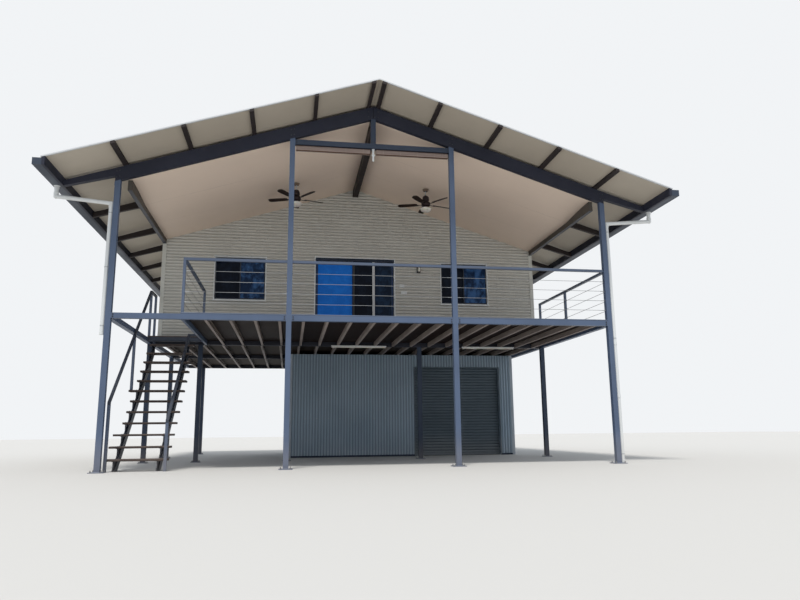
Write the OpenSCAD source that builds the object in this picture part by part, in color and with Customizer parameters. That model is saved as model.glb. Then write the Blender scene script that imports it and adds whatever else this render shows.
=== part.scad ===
// Steel-framed house on posts, with an open verandah, a carport below and one stair.
// Origin: on the ground, in the middle of the roof's outline seen from above.
// +X is the right of the front, +Y runs back into the house, +Z is up.
// The modules measure Y from the front posts; centred() then moves their work to the origin.

/* [Frame] */
// Distance from the centre line to the outer posts
post_x = 4800; // [4600:100:5200]
// Distance from the centre line to the inner posts
inner_x = 1600; // [1400:100:1800]
// Side of the square steel posts and beams
post = 100; // [90:5:120]
// Depth of the verandah, from the front posts to the house wall
verandah_d = 3750; // [3400:50:4200]
// Depth of the closed house
house_d = 6000; // [5400:100:7200]

/* [Floor] */
// Top of the steel floor beams above the ground
beam_top = 2800; // [2600:50:3000]
// Thickness of the decking and of the floor sheet
floor_t = 25; // [20:1:40]
// Width of the open strip that the stair climbs through
stairwell_w = 1250; // [1100:50:1400]
// Distance between floor joists
joist_step = 450; // [400:10:600]

/* [Roof] */
// Slope of both roof planes in degrees
roof_pitch = 18; // [14:1:22]
// Top of the rafters at the ridge
ridge_z = 7120; // [6900:20:7400]
// Overhang of the roof past the front posts and the back wall
gable_out = 1050; // [600:50:1200]
// Half width of the roof sheets, measured level
eave_x = 5812; // [5700:4:6000]
// Depth of the front rafters
rafter_d = 250; // [200:10:300]
// Level distance between purlins
purlin_step = 1170; // [1000:10:1200]

/* [Walls] */
// Half width of the house across its cladding
house_x = 4620; // [4500:20:4650]
// Thickness of the framed walls
wall_t = 120; // [100:5:150]
// Top of the door and the windows above the ground
head_z = 4870; // [4800:10:4950]
// Width of the glazed sliding door
door_w = 2000; // [1800:50:2400]
// Width of a window
window_w = 1220; // [1000:20:1400]
// Height of a window
window_h = 1070; // [900:10:1200]
// Distance from the centre line to the middle of a front window
window_x = 2800; // [2500:50:3100]

/* [Store room] */
// Front face of the store room behind the front posts
store_y = 5500; // [5000:50:6500]
// Left face of the store room
store_left = -1550; // [-1550:10:-1000]
// Right face of the store room
store_right = 4550; // [4300:10:4600]
// Width of the roller shutter opening
shutter_w = 2370; // [2200:10:2400]
// Height of the roller shutter opening
shutter_h = 2350; // [2100:10:2400]

/* [Stair] */
// Number of rises from the ground to the deck
rises = 13; // [11:1:14]
// Depth of each step from nosing to nosing
going = 247.5; // [240:0.5:250]
// Front edge of the top landing
landing_y = 3150; // [3100:10:3200]
// Height of the rails above the deck and the steps
rail_h = 1040; // [950:10:1100]

/* [Ceiling fans] */
// Distance from the centre line to each fan
fan_x = 1500; // [1400:50:1700]
// Distance of the fans behind the front posts
fan_y = 2130; // [2000:10:2600]
// Radius swept by the blades
fan_r = 660; // [550:10:700]
// Height of the blades above the ground
fan_z = 5860; // [5800:10:5980]

/* [Hidden] */

eps = 1;
// Gap left between two faces that meet on a slope
fit = 0.05;
big = 20000;
steel = [0.30, 0.33, 0.38];
beige = [0.74, 0.70, 0.62];
timber = [0.36, 0.20, 0.14];

plate_t = 12;
plate_w = 250;
bolt_step = 180;
bolt_r = 9;
beam_bottom = beam_top - post;
deck_top = beam_top + floor_t;
back_y = verandah_d + house_d;
middle_y = verandah_d + house_d / 2;
bearer_ys = [verandah_d, middle_y, back_y];
deck_left = -(post_x - stairwell_w);
rafter_ys = [
    verandah_d / 2, verandah_d,
    for (i = [1 : 3]) verandah_d + i * house_d / 4,
    back_y
];

slope = tan(roof_pitch);
rafter_v = rafter_d / cos(roof_pitch);
inner_rafter_v = 350 / cos(roof_pitch);
tail_root_v = 150 / cos(roof_pitch);
tail_tip_v = 100 / cos(roof_pitch);
ridge_gap = 3;
lining_t = 12;
lining_drop = inner_rafter_v + lining_t / cos(roof_pitch);
eave_beam_w = 80;
lining_x = house_x - wall_t / 2 + eave_beam_w;
purlin_w = 75;
purlin_v = 50 / cos(roof_pitch);
fascia_in = eave_x - 72;
fascia_out = eave_x - 22;
roof_y0 = -gable_out;
roof_y1 = back_y + gable_out;

// Height of the rafters' top edge over the ground at a distance from the centre line
function rafter_z(x) = ridge_z - abs(x) * slope;
function lining_z(x) = rafter_z(x) - lining_drop;
function sheet_z(x) = rafter_z(x) + purlin_v;

// A straight bar between two corners
module bar(from, to) {
    translate(from) cube(to - from);
}

// A flat shape in the X-Z plane, run back from y0 to y1
module along_y(y0, y1) {
    translate([0, y1, 0]) rotate([90, 0, 0]) linear_extrude(y1 - y0) children();
}

// A flat shape in the Y-Z plane, run right from x0 to x1
module along_x(x0, x1) {
    translate([x0, 0, 0]) rotate([90, 0, 90]) linear_extrude(x1 - x0) children();
}

module centred() {
    translate([0, -(roof_y0 + roof_y1) / 2, 0]) children();
}

module both_sides() {
    children();
    mirror([1, 0, 0]) children();
}

// Frame

module post_to_rafter(x) {
    along_y(-post / 2, post / 2) polygon([
        [x - post / 2, plate_t],
        [x + post / 2, plate_t],
        [x + post / 2, rafter_z(x + post / 2) - rafter_v - fit],
        [x - post / 2, rafter_z(x - post / 2) - rafter_v - fit]
    ]);
}

module front_posts() color(steel) centred() both_sides() {
    post_to_rafter(post_x);
    post_to_rafter(inner_x);
}

column_spots = [
    for (x = [-post_x, deck_left - post, -inner_x, inner_x, post_x]) [x, verandah_d],
    for (x = [-post_x, -inner_x, inner_x, post_x]) [x, middle_y],
    for (x = [-post_x + 500, -inner_x, inner_x, post_x - 500]) [x, back_y]
];
front_spots = [for (x = [-post_x, -inner_x, inner_x, post_x]) [x, 0]];

module house_columns() color(steel) centred() for (p = column_spots)
    bar([p.x - post / 2, p.y - post / 2, 0], [p.x + post / 2, p.y + post / 2, beam_bottom]);

module base_plates() color(steel) centred() for (p = front_spots) translate([p.x, p.y, 0]) difference() {
    translate([-plate_w / 2, -plate_w / 2, 0]) cube([plate_w, plate_w, plate_t]);
    for (dx = [-1, 1], dy = [-1, 1])
        translate([dx * bolt_step / 2, dy * bolt_step / 2, -eps])
            cylinder(r = bolt_r, h = plate_t + 2 * eps, $fn = 32);
}

// Floor

// The beam between the front posts, and the trimmer beside the stair
module deck_beams() color(steel) centred() {
    for (span = [[-post_x, -inner_x], [-inner_x, inner_x], [inner_x, post_x]])
        bar([span[0] + post / 2, -post / 2, beam_bottom], [span[1] - post / 2, post / 2, beam_top]);
    bar([deck_left, post / 2, beam_bottom], [deck_left + 50, verandah_d - post / 2, beam_top]);
}

module floor_bearers() color(steel) centred() for (y = bearer_ys)
    bar([-post_x + post / 2, y - post / 2, beam_bottom], [post_x - post / 2, y + post / 2, beam_top]);

module side_beams() color(steel) centred() both_sides()
    bar([post_x - post / 2, post / 2, beam_bottom], [post_x + post / 2, back_y + post / 2, beam_top]);

// A C-shaped cold-formed joist, open to the right
module joist(x, y0, y1) {
    joist_w = 50;
    wall = 5;
    lip = 15;
    along_y(y0, y1) translate([x, beam_bottom]) difference() {
        translate([-joist_w / 2, 0]) square([joist_w, post]);
        translate([-joist_w / 2 + wall, wall]) square([joist_w - 2 * wall, post - 2 * wall]);
        translate([joist_w / 2 - wall - eps, lip]) square([wall + 2 * eps, post - 2 * lip]);
    }
}

module joists() color(steel) centred() {
    for (x = [deck_left + 430 : joist_step : post_x - 200])
        joist(x, post / 2, verandah_d - post / 2);
    for (x = [-10 : 10], i = [0, 1])
        joist(x * joist_step, bearer_ys[i] + post / 2, bearer_ys[i + 1] - post / 2);
}

module deck() color(timber) centred() difference() {
    bar([deck_left, -post / 2, beam_top], [post_x + post / 2, verandah_d, deck_top]);
    for (x = [-inner_x, inner_x, post_x])
        bar([x - post / 2, -post, beam_top - eps], [x + post / 2, post / 2, deck_top + eps]);
}

module house_floor() color(timber) centred()
    bar([-house_x, verandah_d, beam_top], [house_x, back_y, deck_top]);

module stair_landing() color(timber) centred() {
    bar([-post_x + post / 2, landing_y, beam_top], [deck_left, verandah_d, deck_top]);
    bar([-post_x + post / 2, landing_y, beam_bottom], [deck_left, landing_y + 50, beam_top]);
}

// Walls

module gable_outline() {
    half_ridge = ridge_beam_w / 2;
    polygon([
        [-house_x, deck_top], [house_x, deck_top],
        [house_x, lining_z(house_x) - fit], [half_ridge, lining_z(half_ridge) - fit],
        [half_ridge, ridge_beam_bottom], [-half_ridge, ridge_beam_bottom],
        [-half_ridge, lining_z(half_ridge) - fit], [-house_x, lining_z(house_x) - fit]
    ]);
}

module window_hole() {
    translate([-window_w / 2, head_z - window_h]) square([window_w, window_h]);
}

module door_hole() {
    translate([-door_w / 2, deck_top - eps]) square([door_w, head_z - deck_top + eps]);
}

module front_wall() color(beige) centred() along_y(verandah_d, verandah_d + wall_t) difference() {
    gable_outline();
    door_hole();
    for (s = [-1, 1]) translate([s * window_x, 0]) window_hole();
}

module back_wall() color(beige) centred() along_y(back_y - wall_t, back_y) difference() {
    gable_outline();
    for (s = [-1, 1]) translate([s * window_x, 0]) window_hole();
}

side_window_ys = [verandah_d + house_d * 0.27, verandah_d + house_d * 0.73];

module side_walls() color(beige) centred() both_sides() difference() {
    along_y(verandah_d + wall_t, back_y - wall_t) polygon([
        [house_x, deck_top], [house_x - wall_t, deck_top],
        [house_x - wall_t, lining_z(house_x - wall_t) - fit], [house_x, lining_z(house_x) - fit]
    ]);
    for (y = side_window_ys)
        along_x(house_x - wall_t - eps, house_x + eps) translate([y, 0]) window_hole();
}

trim_w = 90;
trim_t = 8;

module corner_trims() color(beige) centred() both_sides() for (front = [true, false]) {
    y_face = front ? verandah_d - trim_t : back_y;
    y_side = front ? verandah_d : back_y - trim_w;
    top = lining_z(house_x) - 5;
    union() {
        bar([house_x - trim_w, y_face, deck_top], [house_x + trim_t, y_face + trim_t, top]);
        bar([house_x, y_side, deck_top], [house_x + trim_t, y_side + trim_w, top]);
    }
}

// Door and windows

frame_w = 45;
frame_in = 25;
glass_t = 6;

// A frame around an opening w wide and h high, with upright bars at the given places
module glazing_frame(w, h, uprights, depth) {
    along_y(0, depth) difference() {
        translate([-w / 2, 0]) square([w, h]);
        for (i = [0 : len(uprights)]) {
            left = i == 0 ? -w / 2 + frame_w : uprights[i - 1] + frame_w / 2;
            right = i == len(uprights) ? w / 2 - frame_w : uprights[i] - frame_w / 2;
            translate([left, frame_w]) square([right - left, h - 2 * frame_w]);
        }
    }
}

door_uprights = [-door_w * 0.02, door_w * 0.215];
door_frame_d = 80;

module door_frame() color("gainsboro") centred() difference() {
    translate([0, verandah_d + frame_in, deck_top])
        glazing_frame(door_w, head_z - deck_top, door_uprights, door_frame_d);
    door_pane_slot();
}

module door_pane_slot() {
    y0 = verandah_d + frame_in + (door_frame_d - glass_t) / 2;
    bar(
        [-door_w / 2 + frame_w - 10, y0, deck_top + frame_w - 10],
        [door_w / 2 - frame_w + 10, y0 + glass_t, head_z - frame_w + 10]
    );
}

module door_glass() color("slategray") centred() door_pane_slot();

window_frame_d = 60;

// One window frame or its pane, standing at the origin and facing -Y
module window_frame_at_origin() {
    difference() {
        glazing_frame(window_w, window_h, [0], window_frame_d);
        window_pane_at_origin();
    }
}

module window_pane_at_origin() {
    y0 = (window_frame_d - glass_t) / 2;
    bar(
        [-window_w / 2 + frame_w - 10, y0, frame_w - 10],
        [window_w / 2 - frame_w + 10, y0 + glass_t, window_h - frame_w + 10]
    );
}

// Sets its child in each window opening of the house
module at_each_window() {
    sill_z = head_z - window_h;
    for (s = [-1, 1]) {
        translate([s * window_x, verandah_d + frame_in, sill_z]) children();
        translate([s * window_x, back_y - frame_in, sill_z]) rotate([0, 0, 180]) children();
        for (y = side_window_ys)
            translate([s * (house_x - frame_in), y, sill_z]) rotate([0, 0, s * 90]) children();
    }
}

module window_frames() color("gainsboro") centred() at_each_window() window_frame_at_origin();
module window_glass() color("slategray") centred() at_each_window() window_pane_at_origin();

// Roof frame

tail_start = post_x + post / 2;

// The deep front rafters, from the ridge out to the posts, with their slimmer tapered tails
module front_rafters() color(steel) centred() both_sides() along_y(-post / 2, post / 2) polygon([
    [ridge_gap, rafter_z(ridge_gap)],
    [fascia_in, rafter_z(fascia_in)],
    [fascia_in, rafter_z(fascia_in) - tail_tip_v],
    [tail_start, rafter_z(tail_start) - tail_root_v],
    [tail_start, rafter_z(tail_start) - rafter_v],
    [ridge_gap, rafter_z(ridge_gap) - rafter_v]
]);

inner_rafter_w = 75;

module inner_rafters() color(steel) centred() both_sides() for (y = rafter_ys)
    along_y(y - inner_rafter_w / 2, y + inner_rafter_w / 2) polygon([
        [ridge_gap, rafter_z(ridge_gap)],
        [fascia_in, rafter_z(fascia_in)],
        [fascia_in, rafter_z(fascia_in) - tail_tip_v],
        [lining_x, rafter_z(lining_x) - tail_root_v],
        [lining_x, rafter_z(lining_x) - inner_rafter_v],
        [ridge_gap, rafter_z(ridge_gap) - inner_rafter_v]
    ]);

collar_top = rafter_z(inner_x + post / 2) - rafter_v;

module collar_and_king_post() color(steel) centred() along_y(-post / 2, post / 2) {
    translate([-inner_x + post / 2, collar_top - post]) square([2 * inner_x - post, post]);
    polygon([
        [-post / 2, collar_top - eps], [post / 2, collar_top - eps],
        [post / 2, rafter_z(post / 2) - rafter_v - fit], [0, rafter_z(0) - rafter_v - fit],
        [-post / 2, rafter_z(post / 2) - rafter_v - fit]
    ]);
}

ridge_beam_w = 125;
ridge_beam_top = rafter_z(ridge_beam_w / 2) - inner_rafter_v;
ridge_beam_bottom = ridge_beam_top - 200;

module ridge_beam() color(steel) centred()
    bar([-ridge_beam_w / 2, post / 2, ridge_beam_bottom], [ridge_beam_w / 2, back_y, ridge_beam_top]);

module eave_beams() color(steel) centred() both_sides() {
    x0 = lining_x - eave_beam_w;
    x1 = lining_x;
    bottom = lining_z(x0) - 110;
    along_y(post / 2, verandah_d - trim_t)
        polygon([[x0, bottom], [x1, bottom], [x1, lining_z(x1) - fit], [x0, lining_z(x0) - fit]]);
}

module purlin(x) {
    along_y(roof_y0, roof_y1) polygon([
        [x, rafter_z(x) + fit], [x + purlin_w, rafter_z(x + purlin_w) + fit],
        [x + purlin_w, sheet_z(x + purlin_w) - fit], [x, sheet_z(x) - fit]
    ]);
}

module purlins() color(steel) centred() both_sides() {
    purlin(60);
    for (i = [1 : 4]) purlin(i * purlin_step - purlin_w / 2);
}

fascia_d = 160;

module eave_fascias() color(steel) centred() both_sides() along_y(roof_y0, roof_y1) polygon([
    [fascia_in, sheet_z(fascia_in) - fascia_d], [fascia_out, sheet_z(fascia_in) - fascia_d],
    [fascia_out, sheet_z(fascia_out) - fit], [fascia_in, sheet_z(fascia_in) - fit]
]);

// The sloping lining under the rafters, with an upstand behind the front rafter
module ceiling_lining() color(beige) centred() both_sides() {
    x0 = ridge_beam_w / 2;
    top_v = lining_t / cos(roof_pitch) - fit;
    union() {
        along_y(post / 2, back_y) polygon([
            [x0, lining_z(x0)], [lining_x, lining_z(lining_x)],
            [lining_x, lining_z(lining_x) + top_v], [x0, lining_z(x0) + top_v]
        ]);
        along_y(post / 2, post / 2 + lining_t) polygon([
            [x0, lining_z(x0)], [post_x - post / 2, lining_z(post_x - post / 2)],
            [post_x - post / 2, rafter_z(post_x - post / 2) - rafter_v + 30],
            [x0, rafter_z(x0) - rafter_v + 30]
        ]);
    }
}

// Roof covering

pan_t = 22;
rib_h = 28;
rib_foot = 60;
rib_top = 28;
rib_step = 200;
cap_in = 200;
rib_count = floor((roof_y1 - roof_y0) / rib_step);
rib_margin = (roof_y1 - roof_y0 - (rib_count - 1) * rib_step) / 2;

// The ribbed sheet's end outline: level pans with raised ribs
module ribbed_outline() {
    ribs = [for (i = [0 : rib_count - 1]) let (y = roof_y0 + rib_margin + i * rib_step) each [
        [y - rib_foot / 2, pan_t], [y - rib_top / 2, pan_t + rib_h],
        [y + rib_top / 2, pan_t + rib_h], [y + rib_foot / 2, pan_t]
    ]];
    polygon(concat([[roof_y0, 0], [roof_y0, pan_t]], ribs, [[roof_y1, pan_t], [roof_y1, 0]]));
}

module roof_sheets() color("lightgray") centred() both_sides() intersection() {
    translate([0, 0, sheet_z(0)]) rotate([0, roof_pitch, 0]) translate([-100, 0, 0])
        along_x(0, 100 + eave_x / cos(roof_pitch)) ribbed_outline();
    bar([2, -big, 0], [big, big, big]);
}

// A folded capping that rests on the ribs on both sides of the ridge, short of the gable ends
module ridge_cap() color("lightgray") centred() along_y(roof_y0 + cap_in, roof_y1 - cap_in) {
    reach = 220;
    cap_t = 4;
    foot = sheet_z(0) + (pan_t + rib_h) / cos(roof_pitch) + fit;
    polygon([
        [-reach, foot - reach * slope], [0, foot], [reach, foot - reach * slope],
        [reach, foot - reach * slope + cap_t], [0, foot + cap_t], [-reach, foot - reach * slope + cap_t]
    ]);
}

gutter_w = 150;
gutter_d = 120;
gutter_wall = 4;
gutter_top = sheet_z(eave_x) - 14;

module gutters() color(steel) centred() both_sides() difference() {
    bar(
        [fascia_out, roof_y0, gutter_top - gutter_d],
        [fascia_out + gutter_w, roof_y1, gutter_top]
    );
    bar(
        [fascia_out + gutter_wall, roof_y0 + gutter_wall, gutter_top - gutter_d + gutter_wall],
        [fascia_out + gutter_w - gutter_wall, roof_y1 - gutter_wall, gutter_top + eps]
    );
}

pipe_r = 38;
socket_r = 44;
pipe_x = post_x + post / 2 + pipe_r + 6;
pipe_top_x = fascia_out + gutter_w / 2;
pipe_fall = 90;

// A round rod between two points in the plane of the front posts
module rod(a, b, r) {
    d = b - a;
    translate(a) rotate([0, acos(d.z / norm(d)), atan2(d.y, d.x)])
        cylinder(r = r, h = norm(d), $fn = 32);
}

// Falls from the gutter to the post and down it, held by clips
module downpipe(foot_z) {
    outlet = [pipe_top_x, 0, gutter_top - gutter_d];
    drop = [pipe_top_x, 0, outlet.z - 200];
    turn = [pipe_x, 0, drop.z - pipe_fall];
    rod(drop, outlet, pipe_r);
    translate(drop) sphere(r = socket_r, $fn = 32);
    rod(turn, drop, pipe_r);
    translate(turn) sphere(r = socket_r, $fn = 32);
    rod([pipe_x, 0, foot_z], turn, pipe_r);
    for (z = [foot_z + 150, (foot_z + turn.z) / 2, turn.z - 200])
        bar([post_x + post / 2, -15, z], [pipe_x, 15, z + 25]);
}

left_pipe_foot = beam_bottom - 300;

module downpipes() color("white") centred() {
    downpipe(20);
    mirror([1, 0, 0]) downpipe(left_pipe_foot);
}

// Rails

rail = 50;
rail_top = deck_top + rail_h;
rail_bottom = rail_top - rail;
wire_r = 4;
wire_zs = [for (i = [1 : 4]) deck_top + i * (rail_h - rail) / 5];
corner_x = deck_left + rail / 2;
side_rail_end = landing_y - 150;
right_mid_post_y = 2100;

// Spans of the front rail between the corner post and the steel posts
front_spans = [
    [corner_x + rail / 2, -inner_x - post / 2],
    [-inner_x + post / 2, inner_x - post / 2],
    [inner_x + post / 2, post_x - post / 2]
];

module deck_top_rails() color(steel) centred() {
    for (span = front_spans) bar([span[0], -rail / 2, rail_bottom], [span[1], rail / 2, rail_top]);
    bar([corner_x - rail / 2, rail / 2, rail_bottom], [corner_x + rail / 2, side_rail_end, rail_top]);
    bar([post_x - rail / 2, post / 2, rail_bottom], [post_x + rail / 2, verandah_d, rail_top]);
}

module deck_rail_wires() color("silver") centred() for (z = wire_zs) {
    for (span = front_spans) rod([span[0], 0, z], [span[1], 0, z], wire_r);
    rod([corner_x, rail / 2, z], [corner_x, side_rail_end, z], wire_r);
    rod([post_x, post / 2, z], [post_x, right_mid_post_y - rail / 2, z], wire_r);
    rod([post_x, right_mid_post_y + rail / 2, z], [post_x, verandah_d - rail, z], wire_r);
}

// Height of the stair's pitch line, through the nosings, at a distance back
rise = deck_top / rises;
first_nosing = landing_y - (rises - 1) * going;
function pitch_z(y) = rise + (y - first_nosing) * rise / going;

tread_x0 = -post_x + 55;
tread_x1 = -post_x + 1115;
tread_t = 38;
tread_d = 238;
// The first steps, and the one under the middle rail post, reach further left than the rest
long_treads = 3;
short_by = 95;
left_rail_x = tread_x0 + rail / 2;
right_rail_x = tread_x1 - rail / 2;
newel_y = first_nosing - rail / 2;
mid_tread = 7;
mid_post_y = first_nosing + (mid_tread - 0.5) * going;
right_rail_h = 720;
right_rail_end = first_nosing + (beam_bottom + rail - right_rail_h - rise) * going / rise;

// An upright of the rails' own square tube
module rail_post(x, y, z0, z1) {
    bar([x - rail / 2, y - rail / 2, z0], [x + rail / 2, y + rail / 2, z1]);
}

// An upright with its top cut to the slope of the rail that it carries
module raked_post(x, y, z0, h) {
    y0 = y - rail / 2;
    y1 = y + rail / 2;
    along_x(x - rail / 2, x + rail / 2) polygon([
        [y0, z0], [y1, z0], [y1, pitch_z(y1) + h - rail - fit], [y0, pitch_z(y0) + h - rail - fit]
    ]);
}

module rail_posts() color(steel) centred() {
    rail_post(corner_x, 0, deck_top, rail_top);
    rail_post(corner_x, side_rail_end + rail / 2, deck_top, rail_top);
    rail_post(post_x, verandah_d - rail / 2, deck_top, rail_bottom);
    rail_post(post_x, right_mid_post_y, deck_top, rail_bottom);
    raked_post(left_rail_x, newel_y, 0, rail_h);
    raked_post(right_rail_x, newel_y, 0, right_rail_h);
    raked_post(left_rail_x, mid_post_y, mid_tread * rise, rail_h);
    for (y = [landing_y + rail / 2, verandah_d - trim_t - rail / 2])
        rail_post(left_rail_x, y, deck_top, rail_bottom);
}

// A sloping rail that follows the pitch line at a height h, between two distances back
module sloping_rail(x, y0, y1, h) {
    along_x(x - rail / 2, x + rail / 2) polygon([
        [y0, pitch_z(y0) + h - rail], [y1, pitch_z(y1) + h - rail],
        [y1, pitch_z(y1) + h], [y0, pitch_z(y0) + h]
    ]);
}

module stair_hand_rails() color(steel) centred() {
    sloping_rail(left_rail_x, newel_y - rail / 2, landing_y, rail_h);
    bar(
        [left_rail_x - rail / 2, landing_y, rail_bottom],
        [left_rail_x + rail / 2, verandah_d - trim_t, rail_top]
    );
    sloping_rail(right_rail_x, newel_y - rail / 2, right_rail_end, right_rail_h);
    bar(
        [right_rail_x - rail / 2, right_rail_end - 20, beam_bottom],
        [deck_left, right_rail_end + rail - 20, beam_bottom + rail]
    );
}

// Stair

stringer_w = 50;
stringer_d = 150;
left_stringer_x = tread_x0 + short_by + 50;
right_stringer_x = tread_x1 - 170;

// One stringer: a straight bar, a bracket and seat under each tread, and a hanger at the top
module stringer(x) {
    seat_t = 6;
    bracket_t = 8;
    bar_drop = tread_d * rise / going + tread_t + 10;
    bar_v = stringer_d * norm([going, rise]) / going;
    y_top = first_nosing + (bar_drop - rise) * going / rise;
    y_foot = first_nosing + (bar_drop + bar_v - rise) * going / rise;
    hanger_y = landing_y + post / 2;
    along_x(x - stringer_w / 2, x + stringer_w / 2) polygon([
        [y_top, 0], [y_foot, 0],
        [hanger_y, pitch_z(hanger_y) - bar_drop - bar_v], [hanger_y, beam_bottom],
        [landing_y, beam_bottom], [landing_y, pitch_z(landing_y) - bar_drop]
    ]);
    for (k = [1 : rises - 1]) translate([x, first_nosing + (k - 1) * going, k * rise - tread_t]) {
        bar([-stringer_w / 2, 20, -seat_t], [stringer_w / 2, tread_d - 20, 0]);
        along_x(-bracket_t / 2, bracket_t / 2) polygon([
            [20, -seat_t / 2], [tread_d - 20, -seat_t / 2], [tread_d - 20, -60],
            [20, max(20 - bar_drop, tread_t - k * rise)]
        ]);
    }
}

module stair_stringers() color(steel) centred() {
    stringer(left_stringer_x);
    stringer(right_stringer_x);
}

module stair_treads() color(timber) centred() for (k = [1 : rises - 1]) {
    y = first_nosing + (k - 1) * going;
    x0 = k <= long_treads || k == mid_tread ? tread_x0 : tread_x0 + short_by;
    bar([x0, y, k * rise - tread_t], [tread_x1, y + tread_d, k * rise]);
}

// Store room

store_wall_t = 75;
store_back = back_y - post / 2;
store_top = beam_bottom;
shutter_x = store_right - 380 - shutter_w / 2;

module store_front_wall() color(beige) centred() difference() {
    bar([store_left, store_y, 0], [store_right, store_y + store_wall_t, store_top]);
    bar(
        [shutter_x - shutter_w / 2, store_y - eps, -eps],
        [shutter_x + shutter_w / 2, store_y + store_wall_t + eps, shutter_h]
    );
}

module store_side_walls() color(beige) centred()
    for (x = [store_left, store_right - store_wall_t])
        bar(
            [x, store_y + store_wall_t, 0],
            [x + store_wall_t, store_back - store_wall_t, store_top]
        );

module store_back_wall() color(beige) centred()
    bar([store_left, store_back - store_wall_t, 0], [store_right, store_back, store_top]);

guide_w = 50;
slat_step = 76;
slat_t = 10;
guide_d = 60;
curtain_lap = 35;
curtain_y = store_y + store_wall_t + guide_d / 2;

// The shutter's curtain of interlocked curved slats, its bottom bar and its roll
module roller_shutter() color("dimgray") centred() {
    slats = floor((shutter_h - 60) / slat_step);
    x0 = shutter_x - shutter_w / 2 - curtain_lap;
    x1 = shutter_x + shutter_w / 2 + curtain_lap;
    front = [for (i = [0 : slats - 1]) each [
        [0, 60 + i * slat_step], [-slat_t, 60 + (i + 0.3) * slat_step],
        [-slat_t, 60 + (i + 0.7) * slat_step]
    ]];
    top = 60 + slats * slat_step;
    along_x(x0, x1) translate([curtain_y, 0])
        polygon(concat([[0, 60]], front, [[0, top], [0, shutter_h + 120], [5, shutter_h + 120], [5, 60]]));
    bar([x0, curtain_y - 15, 0], [x1, curtain_y + 15, 61]);
    translate([x0, curtain_y + 155, shutter_h + 120]) rotate([0, 90, 0])
        cylinder(r = 150.5, h = x1 - x0, $fn = 64);
}

// Channels inside the wall, beside the opening, that the curtain's edges run in
module shutter_guides() color(steel) centred() for (s = [0, 1])
    translate([shutter_x, 0, 0]) mirror([s, 0, 0]) difference() {
        x0 = shutter_w / 2;
        y0 = store_y + store_wall_t;
        bar([x0, y0, 0], [x0 + guide_w, y0 + guide_d, shutter_h]);
        bar([x0 - eps, y0 + 8, -eps], [x0 + guide_w - 8, y0 + guide_d - 8, shutter_h + eps]);
    }

// Ceiling fans

rod_r = 14;
blade_count = 5;
motor_r = 105;
motor_h = 90;
lamp_top = fan_z - 62;

// The still parts of a fan: canopy on the sloping lining, down rod, and lamp
module fan_mount() {
    top = lining_z(fan_x);
    difference() {
        union() {
            translate([fan_x, fan_y, top - 70]) cylinder(r1 = 45, r2 = 75, h = 110, $fn = 48);
            translate([fan_x, fan_y, lamp_top - 5]) cylinder(r = rod_r, h = top - lamp_top, $fn = 32);
        }
        along_y(0, big) polygon([
            [0, lining_z(0) - fit], [house_x, lining_z(house_x) - fit], [house_x, big], [0, big]
        ]);
    }
    translate([fan_x, fan_y, lamp_top - 40]) cylinder(r = 60, h = 40, $fn = 48);
    translate([fan_x, fan_y, lamp_top - 40]) intersection() {
        sphere(r = 90, $fn = 48);
        translate([-100, -100, -100]) cube([200, 200, 100]);
    }
}

module fan_mounts() color("dimgray") centred() both_sides() fan_mount();

// A blade outline with a rounded tip, broader outwards
module blade_outline() {
    tip = 68;
    polygon([[0, -45], [fan_r - 200 - tip, -tip], [fan_r - 200 - tip, tip], [0, 45]]);
    translate([fan_r - 200 - tip, 0]) circle(r = tip, $fn = 48);
}

module fan_rotor() {
    bore_r = rod_r + 1;
    difference() {
        union() {
            translate([0, 0, -motor_h / 2]) cylinder(r = motor_r, h = motor_h, $fn = 64);
            translate([0, 0, motor_h / 2]) cylinder(r1 = motor_r, r2 = 40, h = 45, $fn = 64);
            for (i = [0 : blade_count - 1]) rotate([0, 0, i * 360 / blade_count + 18]) {
                translate([motor_r - 15, -18, -9]) cube([130, 36, 6]);
                translate([200, 0, -5]) rotate([12, 0, 0]) linear_extrude(8) blade_outline();
            }
        }
        translate([0, 0, -100]) cylinder(r = bore_r, h = 300, $fn = 32);
    }
}

module fan_left() color("dimgray") centred() translate([-fan_x, fan_y, fan_z]) fan_rotor();
module fan_right() color("dimgray") centred() translate([fan_x, fan_y, fan_z]) fan_rotor();

// Blinds rolled up under the collar beam, one each side of the king post line

blind_r = 55;
blind_gap = 120;

module rolled_blinds() color(beige) centred() both_sides() {
    x0 = blind_gap / 2;
    x1 = inner_x - post / 2 - 20;
    z = collar_top - post - blind_r - 12;
    translate([x0, 10, z]) rotate([0, 90, 0]) cylinder(r = blind_r, h = x1 - x0, $fn = 32);
    bar([x0, -15, z + blind_r - 10], [x1, 35, collar_top - post]);
}

base_plates();
front_posts();
house_columns();
deck_beams();
floor_bearers();
side_beams();
joists();
deck();
house_floor();
stair_landing();
front_wall();
side_walls();
back_wall();
corner_trims();
door_frame();
door_glass();
window_frames();
window_glass();
front_rafters();
collar_and_king_post();
inner_rafters();
ridge_beam();
eave_beams();
purlins();
eave_fascias();
ceiling_lining();
roof_sheets();
ridge_cap();
gutters();
downpipes();
deck_top_rails();
deck_rail_wires();
rail_posts();
stair_stringers();
stair_treads();
stair_hand_rails();
store_front_wall();
store_side_walls();
store_back_wall();
roller_shutter();
shutter_guides();
fan_mounts();
fan_left();
fan_right();
rolled_blinds();
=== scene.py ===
import math
import random

import bmesh
import bpy
from mathutils import Matrix, Vector


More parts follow.
